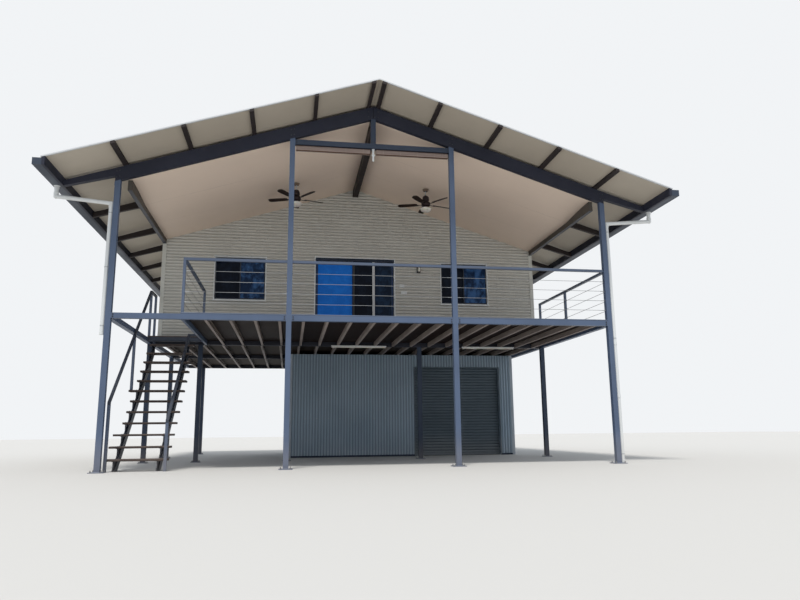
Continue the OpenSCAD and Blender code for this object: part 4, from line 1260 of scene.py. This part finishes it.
settle(smooth(bells.piece("fan_motor_bells", fan_bronze), TURNED_SHARP))
settle(smooth(globes.piece("fan_lamp_globes", lamp_glass), TURNED_SHARP))
print("canopies at", round(CANOPY_Z, 3))

# %% [markdown]
# Two reed blinds are rolled up under the collar beam. A roll is a core wrapped in reeds, so
# it is made of a round core with a ring of thin rods on it, tied by cords. A brown rail holds
# each roll above, a brown batten closes it below, and a small white cleat hangs between them.

# %% Rolled reed blinds
COLLAR_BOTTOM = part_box("collar_and_king_post")[0].z
BLIND_R = 0.050
BLIND_Y = behind(0.012)
BLIND_Z = COLLAR_BOTTOM - BLIND_R - 0.016
blind_spans = [(s * 0.060, s * 1.530) for s in SIDES]
CORD_XS = (0.20, 0.55, 0.90, 1.25, 1.42)
REEDS = 34
tie_profile = [(BLIND_R + 0.004, -0.004), (BLIND_R + 0.0075, -0.004), (BLIND_R + 0.0075, 0.004),
               (BLIND_R + 0.004, 0.004)]
reed_runs, cord_ties = [], Shapes()
for turn_x, (x0, x1) in zip(SIDES, blind_spans):
    for k in range(REEDS):
        angle = 2 * math.pi * k / REEDS
        overhang = 0.006 * math.sin(k * 2.4)
        span = (x0 + turn_x * (0.008 + overhang), x1 - turn_x * (0.008 - overhang))
        reed_runs += across([span], BLIND_Y + BLIND_R * math.cos(angle), BLIND_Z + BLIND_R * math.sin(angle))
    for x in CORD_XS:
        cord_ties.turned((turn_x * x, BLIND_Y, BLIND_Z), tie_profile, 24, "X", closed=True)
rods("blind_reeds", reed_runs, 0.0056, reed_timber, 8, ["rolled_blinds"])
rods("blind_cores", across(blind_spans, BLIND_Y, BLIND_Z), BLIND_R - 0.001, reed_timber, 24)
settle(smooth(cord_ties.piece("blind_cord_ties", reed_timber)))
batten_runs = across(blind_spans, BLIND_Y - 0.024, BLIND_Z - BLIND_R + 0.002)
bars("blind_battens", batten_runs, 0.030, 0.012, blind_edge, 0.003)
bars("blind_head_rails", across(blind_spans, BLIND_Y, COLLAR_BOTTOM - 0.008), 0.034, 0.016, blind_edge,
     0.003)
cleat, cleat_at = Shapes(), (0.0, FRONT_Y, COLLAR_BOTTOM)
cleat.box((-0.026, -0.020, -0.030), (0.026, 0.030, 0.0), cleat_at)
cleat.box((-0.018, -0.012, -0.260), (0.018, 0.004, -0.028), cleat_at)
cleat.box((-0.034, -0.022, -0.150), (0.034, -0.010, -0.118), cleat_at)
cleat.turned((0.0, behind(-0.017), COLLAR_BOTTOM - 0.060), [(0.015, -0.006), (0.012, 0.0), (0.015, 0.006)],
             20, "Y")
settle(bevel(cleat.piece("blind_cord_cleat", white_powder), 0.003, 2))
print("blind rolls at", round(BLIND_Z, 3))

# %% [markdown]
# The roller shutter is a curtain of curved slats that hook into each other. One slat is an
# outline run across the opening, and the tree stacks copies of it from the bottom bar up.
# Behind the wall the curtain winds onto its drum.

# %% Shutter slats
SLAT_STEP, SLAT_COUNT = 0.076, 31
SLATS_Z0, SLAT_BELLY = 0.064, 0.0135
SHUTTER_LAP = 0.035
CURTAIN_Y = STORE_Y + 0.105
SLAT_X0, SLAT_X1 = SHUTTER_X0 - SHUTTER_LAP, SHUTTER_X1 + SHUTTER_LAP
stack_tree, stack_in, stack_out = geometry_tree(
    "stacked_slats", [("Count", "Int", 30), ("Step", "Vector", (0, 0, SLAT_STEP))])
stack_line = output_of(stack_tree, "GeometryNodeMeshLine",
                       {"Count": stack_in["Count"], "Offset": stack_in["Step"]}, mode="OFFSET")
stacked = output_of(stack_tree, "GeometryNodeInstanceOnPoints",
                    {"Points": stack_line, "Instance": stack_in["Geometry"]})
finish_tree(stack_tree, stacked, stack_in, stack_out)

slat_front = [(0.000, 0.000), (-0.007, 0.006), (-0.0115, 0.016), (-0.0135, 0.028), (-0.0135, 0.042),
              (-0.0115, 0.054), (-0.007, 0.064), (-0.0015, 0.070), (-0.0015, 0.0745)]
slat_back = [(0.002, 0.0745), (0.002, 0.068), (-0.004, 0.061), (-0.008, 0.052), (-0.010, 0.041),
             (-0.010, 0.029), (-0.008, 0.018), (-0.004, 0.009), (0.004, 0.002)]
slat = Shapes()
slat.extrude([(CURTAIN_Y + a, SLATS_Z0 + b) for a, b in slat_front + slat_back], along_x, SLAT_X0, SLAT_X1)
slat_piece = smooth(slat.piece("shutter_slats", shutter_paint), SHEET_SHARP)
# Painted shade in the recesses where the slats hook together: the further back a point lies, the darker its
# paint.
joint_shade_depths = [min(1.0, (v.co.y - CURTAIN_Y + SLAT_BELLY) / 0.010) ** 2 for v in slat_piece.data.vertices]
slat_piece.data.attributes.new("valley", "FLOAT", "POINT").data.foreach_set("value", joint_shade_depths)
settle(cast(slat_piece, stack_tree, shutter_paint, {"Count": SLAT_COUNT, "Step": (0, 0, SLAT_STEP)}),
       ["roller_shutter"])

# %% Shutter bottom bar, drum, seal and lock
DRUM_W = SLAT_X1 - SLAT_X0
drum_profile = [(0.020, 0.0), (0.148, 0.002), (0.150, 0.010), (0.150, DRUM_W - 0.010),
                (0.148, DRUM_W - 0.002), (0.020, DRUM_W)]
shutter_ends = Shapes()
shutter_ends.box((SLAT_X0, CURTAIN_Y - 0.016, 0.016), (SLAT_X1, CURTAIN_Y + 0.010, 0.066))
shutter_ends.box((SLAT_X0 + 0.02, CURTAIN_Y - 0.024, 0.010), (SLAT_X1 - 0.02, CURTAIN_Y + 0.018, 0.018))
shutter_ends.turned((SLAT_X0, CURTAIN_Y + 0.155, SHUTTER_H + 0.120), drum_profile, 48, "X")
ends_piece = bevel(shutter_ends.piece("shutter_bottom_bar_and_drum", shutter_paint), 0.003)
settle(smooth(ends_piece, TURNED_SHARP))
seal, pull_at = Shapes(), (SHUTTER_X, CURTAIN_Y, 0.042)
seal.extrude([(CURTAIN_Y - 0.012, 0.001), (CURTAIN_Y + 0.006, 0.001), (CURTAIN_Y + 0.010, 0.012),
              (CURTAIN_Y - 0.016, 0.012)], along_x, SLAT_X0 + 0.03, SLAT_X1 - 0.03)
seal.box((-0.075, -0.034, -0.008), (0.075, -0.024, 0.008), pull_at)
seal.box((-0.072, -0.026, -0.006), (-0.056, -0.015, 0.006), pull_at)
seal.box((0.056, -0.026, -0.006), (0.072, -0.015, 0.006), pull_at)
settle(bevel(seal.piece("shutter_seal_and_pull", black_plastic), 0.0015))

LOCK_Z = 1.020
lock, lock_at = Shapes(), (SHUTTER_X, CURTAIN_Y, LOCK_Z)
lock.turned((SHUTTER_X, CURTAIN_Y - 0.013, LOCK_Z),
            [(0.034, 0.0), (0.034, -0.004), (0.026, -0.007), (0.012, -0.008)], 28, "Y")
lock.box((-0.055, -0.034, -0.008), (0.055, -0.024, 0.008), lock_at)
lock.box((-0.007, -0.028, -0.007), (0.007, -0.018, 0.007), lock_at)
settle(smooth(lock.piece("shutter_lock", bolt_zinc)))
print("slats", SLAT_COUNT, "top", round(SLATS_Z0 + SLAT_COUNT * SLAT_STEP, 3))

# %% Store room trims
JAMB_PROUD, TRIM_W = 0.024, 0.024
PLINTH_PROUD, PLINTH_H = 0.024, 0.044
jambs = Shapes()
for side, x in zip(SIDES, (SHUTTER_X0, SHUTTER_X1)):
    x0, x1 = sorted((x - side * 0.004, x + side * TRIM_W))
    jambs.box((x0, STORE_Y - JAMB_PROUD, 0.0), (x1, STORE_Y - 0.001, SHUTTER_H + TRIM_W))
jambs.box((SHUTTER_X0 - TRIM_W, STORE_Y - JAMB_PROUD - 0.002, SHUTTER_H - 0.002),
          (SHUTTER_X1 + TRIM_W, STORE_Y - 0.001, SHUTTER_H + TRIM_W + 0.004))
settle(bevel(jambs.piece("shutter_opening_trim", shutter_paint), 0.003))
plinth_x0, plinth_x1 = STORE_X0 + STORE_LEG, STORE_X1 - STORE_LEG
plinth_runs = across([(plinth_x0, SHUTTER_X0 - TRIM_W), (SHUTTER_X1 + TRIM_W, plinth_x1)],
                     STORE_Y - PLINTH_PROUD / 2, PLINTH_H / 2)
plinth_runs += across([(plinth_x0, plinth_x1)], STORE_BACK + PLINTH_PROUD / 2, PLINTH_H / 2)
bars("store_foot_flashing", plinth_runs, PLINTH_PROUD, PLINTH_H, band_paint, 0.003)
print("shutter opening from x", round(SHUTTER_X0, 3))

# %% [markdown]
# Steel meets steel in plates and bolts. Each front post stands on a base plate with four
# anchor bolts, and each column on a smaller plate. The rafters are bolted to cleats at the
# posts, and the collar and the king post to theirs. The bolts are all placed by the fixings
# tree, from a list of points and the way each one faces.

# %% Post feet
PLATE_T, COLUMN_PLATE_T = 0.012, 0.010
PLATE_HALF = 0.105
BOLT_STEP, COLUMN_BOLT_STEP = 0.180, 0.150
WELD = 0.007
MIDDLE_Y = (WALL_Y + BACK_Y) / 2
column_spots = [(x, WALL_Y) for x in (-POST_X, DECK_LEFT - POST, -INNER_X, INNER_X, POST_X)]
column_spots += [(x, MIDDLE_Y) for x in FRONT_XS]
column_spots += [(x, BACK_Y) for x in (-POST_X + 0.5, -INNER_X, INNER_X, POST_X - 0.5)]
anchor_spots, stud_runs = [], []
column_feet, welds = Shapes(), Shapes()


def stand(x, y, plate_t, bolt_step, stud_top):
    """Four anchor bolts through a foot plate, and the fillet weld around the post on it."""
    for dx in SIDES:
        for dy in SIDES:
            at = (x + dx * bolt_step / 2, y + dy * bolt_step / 2)
            anchor_spots.append(((*at, plate_t + 0.001), UP))
            stud_runs.append(((*at, 0.002), (*at, stud_top)))
    points = []
    for half, z in ((POST / 2 + WELD, plate_t), (POST / 2 + 0.0005, plate_t + WELD)):
        points += [(x + i * half, y + j * half, z) for i, j in ((-1, -1), (1, -1), (1, 1), (-1, 1))]
    welds.add(points, BOX_FACES)


for x in FRONT_XS:
    stand(x, FRONT_Y, PLATE_T, BOLT_STEP, 0.046)
for x, y in column_spots:
    stand(x, y, COLUMN_PLATE_T, COLUMN_BOLT_STEP, 0.042)
    column_feet.box((-PLATE_HALF, -PLATE_HALF, 0.0), (PLATE_HALF, PLATE_HALF, COLUMN_PLATE_T), (x, y, 0.0))
settle(bevel(column_feet.piece("column_base_plates", frame_paint), 0.002))
fixings("anchor_nuts", anchor_spots, 0.013, 0.019, bolt_zinc)
rods("anchor_studs", stud_runs, 0.0078, bolt_zinc)
settle(welds.piece("post_foot_welds", frame_paint))
print("anchor bolts", len(anchor_spots))

# %% Cleats and bolts of the front frame
FRONT_FACE = behind(-POST / 2)
POST_FACE = POST_X + POST / 2
COLLAR_TOP = RIDGE_Z - (INNER_X + POST / 2) * SLOPE - RAFTER_V
BEAM_BOLT_X, COLLAR_BOLT_X = POST / 2 + 0.030, POST / 2 + 0.028
KING_BOLT_X = 0.024
beam_zs = (BEAM_BOTTOM + 0.028, BEAM_TOP - 0.028)
bolt_spots = []


def front_bolts(x, zs):
    """Bolts in the frame's front face, above each other at one x."""
    bolt_spots.extend([((x, FRONT_FACE, z), (0, -1, 0)) for z in zs])


for x in FRONT_XS:
    side = 1 if x > 0 else -1
    for bolt_x in (x - 0.028, x + 0.028):
        front_bolts(bolt_x, [rafter_z(bolt_x) - drop for drop in (0.070, 0.185)])
    if abs(x) > INNER_X:
        front_bolts(x - side * BEAM_BOLT_X, beam_zs)
    else:
        for beam_side in SIDES:
            front_bolts(x + beam_side * BEAM_BOLT_X, beam_zs)
        front_bolts(x - side * COLLAR_BOLT_X, (COLLAR_TOP - 0.072, COLLAR_TOP - 0.028))
for x in (-KING_BOLT_X, KING_BOLT_X):
    front_bolts(x, (COLLAR_TOP + 0.030, rafter_z(x) - RAFTER_V + 0.045))
    front_bolts(x * 4.0, [rafter_z(x * 4.0) - drop for drop in (0.075, 0.190)])
fixings("frame_bolts", bolt_spots, 0.0095, 0.0145, frame_bolt)

cleats = Shapes()
for side in SIDES:
    x0, x1 = sorted((side * POST_FACE, side * (POST_FACE + 0.008)))
    top = rafter_z(x1) - RAFTER_V
    cleats.box((x0, behind(-0.040), top - 0.080), (x1, behind(0.040), top - 0.002))
settle(bevel(cleats.piece("rafter_cleats", frame_paint), 0.002))
print("frame bolts", len(bolt_spots))

# %% [markdown]
# Purlins sit on cleats too. Each cleat is a small upright plate with two bolts, beside the
# purlin at every rafter. One is drawn at the origin, and the places tree sets the rest.

# %% Purlin cleats
PURLIN_W = 0.075
PURLIN_XS = [0.060] + [i * 1.170 - PURLIN_W / 2 for i in range(1, 5)]
RAFTER_YS = [behind(0.0), behind(1.875)] + [WALL_Y + i * HOUSE_D / 4 for i in range(5)]
cleat_places = []
for x in PURLIN_XS:
    for y in RAFTER_YS:
        cleat_places.append(((x + PURLIN_W, y, rafter_z(x + PURLIN_W)), 0.0))
        cleat_places.append(((-x - PURLIN_W, y, rafter_z(x + PURLIN_W)), math.pi))
unit = Shapes()
unit.box((0.0, -0.034, -0.030), (0.005, 0.034, 0.043))
for y in (-0.016, 0.016):
    unit.turned((0.005, y, 0.022), [(0.008, 0.0), (0.008, 0.006)], 6, "X")
cleat_unit = unit.piece("purlin_cleat_unit", roof_paint)
at_places("purlin_cleats", cleat_unit, cleat_places, roof_paint)
print("purlin cleats", len(cleat_places))

# %% [markdown]
# The roof sheets are screwed through their ribs into every purlin. Screws with rubber
# washers follow the purlins on one axis and the ribs on the other. A thin pale angle closes
# the sheets' edge at both gables, seen from below as a fine light line.

# %% Roof screws and edges
PAN_AND_RIB = 0.050
RIB_STEP = 0.200
RIB_COUNT = int((ROOF_Y1 - ROOF_Y0) / RIB_STEP)
RIB_Y0 = ROOF_Y0 + (ROOF_Y1 - ROOF_Y0 - (RIB_COUNT - 1) * RIB_STEP) / 2
RIDGE_SCREW_X, EAVE_SCREW_X = 0.190, 5.765
EDGE_X0, EDGE_X1 = 0.150, 5.735


def sheet_z(x):
    """Height of the roof sheets' underside at a distance from the centre line."""
    return rafter_z(x) + PURLIN_V


screw_rows = [(p + PURLIN_W / 2, 0.0, range(RIB_COUNT)) for p in PURLIN_XS[1:]]
screw_rows += [(EAVE_SCREW_X, 0.0, range(RIB_COUNT)), (RIDGE_SCREW_X, 0.004, range(1, RIB_COUNT - 1))]
roof_screw_spots = []
for turn_x in SIDES:
    for x, lift, ribs in screw_rows:
        z = sheet_z(x) + PAN_AND_RIB / COS + lift
        roof_screw_spots += [((turn_x * x, RIB_Y0 + i * RIB_STEP, z), (turn_x * SIN, 0, COS)) for i in ribs]
fixings("roof_screws", roof_screw_spots, 0.0055, 0.0095, bolt_zinc)

edge_ends = [(x, sheet_z(x) - 0.0025) for x in (EDGE_X0, EDGE_X1)]
edge_runs = [[(turn_x * x, y, z) for x, z in edge_ends]
             for turn_x in SIDES for y in (ROOF_Y0 + 0.016, ROOF_Y1 - 0.016)]
bars("gable_edge_angles", edge_runs, 0.026, 0.004, edge_white, 0.001)
print("roof screws", len(roof_screw_spots))

# %% [markdown]
# The gutters carry a rolled bead along their front edge and flat straps across the top that
# hold them to the fascia. The downpipes are white plastic, with a collar at each joint and a
# band with two screws at each clip.

# %% Gutter beads and straps
gutter_low, gutter_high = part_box("gutters")
FASCIA_OUT = gutter_high.x - 0.150
GUTTER_TOP = gutter_high.z
STRAPS, STRAP_END = 14, 0.25
strap_step = (ROOF_Y1 - ROOF_Y0 - 2 * STRAP_END) / (STRAPS - 1)
strap_ys = [ROOF_Y0 + STRAP_END + i * strap_step for i in range(STRAPS)]
bead_runs, strap_runs = [], []
for turn_x in SIDES:
    x, inner_x = turn_x * (gutter_high.x - 0.0085), turn_x * (FASCIA_OUT - 0.002)
    bead_runs.append([(x, y, GUTTER_TOP - 0.004) for y in (ROOF_Y0 + 0.001, ROOF_Y1 - 0.001)])
    strap_runs += [((inner_x, y, GUTTER_TOP - 0.006), (x, y, GUTTER_TOP - 0.001)) for y in strap_ys]
rods("gutter_beads", bead_runs, 0.0080, roof_paint, 14)
bars("gutter_straps", strap_runs, 0.022, 0.003, zinc, 0.0008)

# %% Downpipe collars and clips
PIPE_R = 0.038
BORE = PIPE_R + 0.0005
PIPE_X = POST_FACE + PIPE_R + 0.006
OUTLET_X, OUTLET_Z = FASCIA_OUT + 0.075, gutter_low.z
DROP_Z = OUTLET_Z - 0.200
TURN_Z = DROP_Z - 0.090
CLIP_T = 0.004
outlet_profile = [(BORE, -0.055), (0.044, -0.055), (0.044, -0.006), (0.055, -0.001), (0.055, 0.0),
                  (BORE, 0.0)]
pipe_fittings, clip_bands, clip_screws = Shapes(), Shapes(), []


def pipe_ring(shapes, x, z, radius, low, high):
    """A ring around a pipe, reaching from low to high above z."""
    profile = [(BORE, low), (radius, low), (radius, high), (BORE, high)]
    shapes.turned((x, FRONT_Y, z), profile, 28, closed=True)


for turn_x, foot_z, joint_zs in ((1, 0.020, (2.35, 1.30)), (-1, BEAM_BOTTOM - 0.300, ())):
    outlet_x, pipe_x = turn_x * OUTLET_X, turn_x * PIPE_X
    pipe_fittings.turned((outlet_x, FRONT_Y, OUTLET_Z), outlet_profile, 28, closed=True)
    pipe_ring(pipe_fittings, outlet_x, DROP_Z, 0.0445, 0.030, 0.075)
    pipe_ring(pipe_fittings, pipe_x, TURN_Z, 0.0445, -0.075, -0.030)
    for z in joint_zs:
        pipe_ring(pipe_fittings, pipe_x, z, 0.0435, -0.030, 0.030)
    pipe_ring(pipe_fittings, pipe_x, foot_z, 0.0445, 0.0, 0.045)
    x0, x1 = sorted((turn_x * POST_FACE, turn_x * (POST_FACE + CLIP_T)))
    for z in (foot_z + 0.1625, (foot_z + TURN_Z) / 2 + 0.0125, TURN_Z - 0.1875):
        pipe_ring(clip_bands, pipe_x, z, 0.0405, -0.010, 0.010)
        clip_bands.box((x0, behind(-0.046), z - 0.012), (x1, behind(0.046), z + 0.012))
        for dy in (-0.036, 0.036):
            clip_screws.append(((turn_x * (POST_FACE + CLIP_T), behind(dy), z), (turn_x, 0, 0)))
settle(smooth(pipe_fittings.piece("downpipe_collars", white_powder), TURNED_SHARP))
settle(smooth(clip_bands.piece("downpipe_clips", zinc), TURNED_SHARP))
fixings("clip_screws", clip_screws, 0.004, 0.006, bolt_zinc)
print("gutter straps", len(strap_runs))

# %% [markdown]
# The rail wires end in swaged fittings with a lock nut at each post, and the rail's own posts
# stand on small flanges that are screwed to the deck.

# %% Rail fittings
RAIL = 0.050
RAIL_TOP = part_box("deck_top_rails")[1].z
CORNER_X = DECK_LEFT + RAIL / 2
WIRE_ZS = [DECK_TOP + i * (RAIL_TOP - DECK_TOP - RAIL) / 5 for i in range(1, 5)]
MID_POST_Y = behind(2.100)
SIDE_END = LANDING_Y - 0.150
wire_spans = [((CORNER_X + RAIL / 2, FRONT_Y), (-INNER_X - POST / 2, FRONT_Y)),
              ((-INNER_X + POST / 2, FRONT_Y), (INNER_X - POST / 2, FRONT_Y)),
              ((INNER_X + POST / 2, FRONT_Y), (POST_X - POST / 2, FRONT_Y)),
              ((CORNER_X, FRONT_Y + RAIL / 2), (CORNER_X, SIDE_END)),
              ((POST_X, FRONT_Y + POST / 2), (POST_X, MID_POST_Y - RAIL / 2)),
              ((POST_X, MID_POST_Y + RAIL / 2), (POST_X, WALL_Y - RAIL))]
swage_runs, nut_runs = [], []
for z in WIRE_ZS:
    for start, end in wire_spans:
        a, b = Vector((*start, z)), Vector((*end, z))
        way = (b - a).normalized()
        for at, inwards in ((a, way), (b, -way)):
            swage_runs.append((at, at + inwards * 0.085))
            nut_runs.append((at + inwards * 0.002, at + inwards * 0.016))
rods("wire_swages", swage_runs, 0.0062, bolt_zinc, 8)
rods("wire_lock_nuts", nut_runs, 0.0110, bolt_zinc, 6)

# %% Rail post flanges
FLANGE_HALF, FLANGE_TOP = 0.045, DECK_TOP + 0.006
FLANGE_SCREW = 0.034
flanges, flange_screws = Shapes(), []
for x, y in ((CORNER_X, FRONT_Y), (CORNER_X, SIDE_END + RAIL / 2), (POST_X, MID_POST_Y)):
    x0 = max(x - FLANGE_HALF, DECK_LEFT)
    y0 = max(y - FLANGE_HALF, FRONT_Y - POST / 2)
    flanges.box((x0, y0, DECK_TOP), (x + FLANGE_HALF, y + FLANGE_HALF, FLANGE_TOP))
    for dy in (-FLANGE_SCREW, FLANGE_SCREW):
        flange_screws.append(((x + FLANGE_SCREW, max(y + dy, y0 + 0.010), FLANGE_TOP), UP))
settle(bevel(flanges.piece("rail_post_flanges", rail_paint), 0.0015))
fixings("flange_screws", flange_screws, 0.0045, 0.0070, bolt_zinc)
print("wire ends", len(swage_runs))

# %% [markdown]
# Wall screws hold each sheet to its battens: a row of hexagon screws along every batten,
# through the crest of every second wave. They sit on the crests, where the wave has its full
# depth.

# %% Wall and store screws
CREST = SHEET_GAP + WAVE_DEPTH
HOLE_MARGIN = 0.055
FRONT_SCREW_STEP, SIDE_SCREW_STEP = 0.610, 0.600


def clear_of(z, u, holes):
    """Whether a place on a wall stays clear of every opening."""
    return not any(z0 - HOLE_MARGIN < z < z1 + HOLE_MARGIN and u0 - HOLE_MARGIN < u < u1 + HOLE_MARGIN
                   for z0, z1, u0, u1 in holes)


def crests(start, end):
    """Every fourth wave crest between two corners of the store room."""
    return [k * PITCH for k in range(math.ceil((start + 0.07) / PITCH), int((end - 0.07) / PITCH) + 1, 4)]


wall_screw_spots = []
for level in range(math.ceil((FOOT_Z + 0.06) / PITCH), int(GABLE_TOP / PITCH), 2):
    z = level * PITCH
    reach = gable_limits(z)[1] - 0.09
    for x in [k * FRONT_SCREW_STEP for k in range(-7, 8)]:
        for way, y, holes in ((-1, WALL_Y - CREST, front_holes), (1, BACK_Y + CREST, window_holes)):
            if abs(x) < reach and clear_of(z, x, holes):
                wall_screw_spots.append(((x, y, z), (0, way, 0)))
    for y in [WALL_Y + k * SIDE_SCREW_STEP for k in range(1, 10)]:
        if z < EAVE_TOP - 0.03 and clear_of(z, y, side_holes):
            wall_screw_spots += [((s * (WALL_X + CREST), y, z), (s, 0, 0)) for s in SIDES]
fixings("wall_screws", wall_screw_spots, 0.0050, 0.0080, wall_screw)

store_screw_spots = []
for z in (0.150, 1.000, 1.850, 2.600):
    for x in crests(STORE_X0, STORE_X1):
        if not (SHUTTER_X0 - 0.06 < x < SHUTTER_X1 + 0.06 and z < SHUTTER_H + 0.06):
            store_screw_spots.append(((x, STORE_Y - CREST, z), (0, -1, 0)))
        store_screw_spots.append(((x, STORE_BACK + CREST, z), (0, 1, 0)))
    for y in crests(STORE_Y, STORE_BACK):
        store_screw_spots.append(((STORE_X0 - CREST, y, z), (-1, 0, 0)))
        store_screw_spots.append(((STORE_X1 + CREST, y, z), (1, 0, 0)))
fixings("store_screws", store_screw_spots, 0.0050, 0.0080, wall_screw)
print("wall screws", len(wall_screw_spots), "store screws", len(store_screw_spots))

# %% [markdown]
# A few small fittings finish the house: a coach lamp and two switch plates beside the door,
# and two tube lights below the joists.

# %% Coach lamp and switch plates
lamp_at = (1.613, WALL_Y - PROUD, 4.672)
LAMP_X, LENS_Y, LENS_Z = lamp_at[0], lamp_at[1] - 0.075, lamp_at[2]
CAGE_R = 0.041
lamp_metal, lamp_lens = Shapes(), Shapes()
lamp_metal.box((-0.045, -0.012, -0.075), (0.045, 0.022, 0.075), lamp_at)
lamp_metal.turned((LAMP_X, LENS_Y, LENS_Z + 0.052),
                  [(0.010, 0.030), (0.055, 0.008), (0.058, 0.0), (0.050, -0.004)], 24)
lamp_metal.turned((LAMP_X, LENS_Y, LENS_Z - 0.070),
                  [(0.012, -0.014), (0.038, -0.006), (0.040, 0.0), (0.034, 0.004)], 24)
for k in range(4):
    angle = math.pi / 4 + k * math.pi / 2
    bar_at = (LAMP_X + CAGE_R * math.cos(angle), LENS_Y + CAGE_R * math.sin(angle), LENS_Z)
    lamp_metal.box((-0.003, -0.003, -0.070), (0.003, 0.003, 0.052), bar_at)
lamp_metal.box((-0.008, -0.078, 0.058), (0.008, -0.008, 0.068), lamp_at)
lamp_lens.turned((LAMP_X, LENS_Y, LENS_Z),
                 [(0.033, -0.066), (0.037, -0.040), (0.037, 0.030), (0.033, 0.048)], 24)
settle(bevel(lamp_metal.piece("wall_lamp_body", black_plastic), 0.0012))
settle(smooth(lamp_lens.piece("wall_lamp_lens", lamp_glass), TURNED_SHARP))

plates, keys = Shapes(), Shapes()
for x, z, w, h in ((1.184, 4.245, 0.058, 0.036), (1.233, 4.066, 0.075, 0.040)):
    at = (x, WALL_Y - PROUD, z)
    plates.box((-w, -0.008, -h), (w, PROUD - 0.004, h), at)
    for dx in (-w / 2, w / 2):
        keys.box((dx - 0.010, -0.012, -0.014), (dx + 0.010, -0.007, 0.014), at)
settle(bevel(plates.piece("switch_plates", white_powder), 0.003, 2))
settle(bevel(keys.piece("switch_keys", sash_powder), 0.0015))

# %% Tube lights
TUBE_Y = behind(3.560)
tube_spans = [(-0.590, 0.750), (2.650, 3.990)]
tube_runs = across([(a + 0.030, b - 0.030) for a, b in tube_spans], TUBE_Y, BEAM_BOTTOM - 0.040)
bars("tube_light_battens", across(tube_spans, TUBE_Y, BEAM_BOTTOM - 0.012), 0.044, 0.024, white_powder,
     0.005)
rods("tube_light_tubes", tube_runs, 0.013, lamp_glass, 16)
holders = Shapes()
for a, b in tube_spans:
    for x in (a + 0.014, b - 0.032):
        holders.box((0.0, -0.015, -0.056), (0.018, 0.015, -0.020), (x, TUBE_Y, BEAM_BOTTOM))
settle(bevel(holders.piece("tube_light_holders", white_powder), 0.004, 2))
print("tube lights", len(tube_spans))

# %% [markdown]
# The carried-over CAD nodes get their finishes here. A finish goes into the node's material
# slots; the mesh isn't touched. The roof sheets take three: bare metal above, a beige lining
# colour for every face that looks down, and a pale edge at the gables and eaves. The eave
# beams take a darker paint on the faces that look down, as painted shade.

# %% Finishes of the CAD nodes
def dress(material, *names):
    """Gives CAD nodes one finish in place of the slots they came with."""
    for name in names:
        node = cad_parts[name]
        node.data.materials.clear()
        node.data.materials.append(material)


dress(frame_paint, "front_posts", "base_plates", "deck_beams", "side_beams")
dress(collar_paint, "collar_and_king_post")
dress(bearer_paint, "floor_bearers")
dress(column_paint, "house_columns")
dress(stair_paint, "stair_stringers", "stair_hand_rails", "shutter_guides")
dress(rail_paint, "deck_top_rails", "rail_posts")
dress(roof_paint, "front_rafters", "eave_fascias")
dress(purlin_paint, "inner_rafters", "ridge_beam", "purlins")
dress(gutter_paint, "gutters")
dress(eave_paint, "eave_beams")
dress(joist_paint, "joists")
dress(floor_panel, "house_floor")
dress(wall_paint, "front_wall", "side_walls", "back_wall")
dress(store_paint, "store_front_wall", "store_side_walls", "store_back_wall")
dress(roof_zinc, "roof_sheets", "ridge_cap")
dress(bolt_zinc, "deck_rail_wires")
dress(white_powder, "downpipes")

LOOKS_DOWN = -0.5
roof_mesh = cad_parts["roof_sheets"].data
roof_mesh.materials.append(soffit_paint)
roof_mesh.materials.append(edge_white)
for face in roof_mesh.polygons:
    if face.normal.z < LOOKS_DOWN:
        face.material_index = 1
    elif abs(face.normal.y) > 0.95 or (abs(face.normal.x) > 0.9 and abs(face.normal.z) < 0.1):
        face.material_index = 2
# Painted shade: the eave beams' faces that look down take the dark bearer paint.
eave_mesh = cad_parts["eave_beams"].data
eave_mesh.materials.append(bearer_paint)
for face in eave_mesh.polygons:
    if face.normal.z < LOOKS_DOWN:
        face.material_index = 1
print("dressed nodes", len(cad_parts))

# %% Floor under the house
floor_material, _, floor_shader, _ = new_material("pale_floor")
floor_shader.inputs["Base Color"].default_value = (0.56, 0.55, 0.53, 1)
floor_shader.inputs["Roughness"].default_value = 0.9
floor = new_piece("floor", [(-70, -60, -0.001), (70, -60, -0.001), (70, 80, -0.001), (-70, 80, -0.001)],
                  [(0, 1, 2, 3)], floor_material)
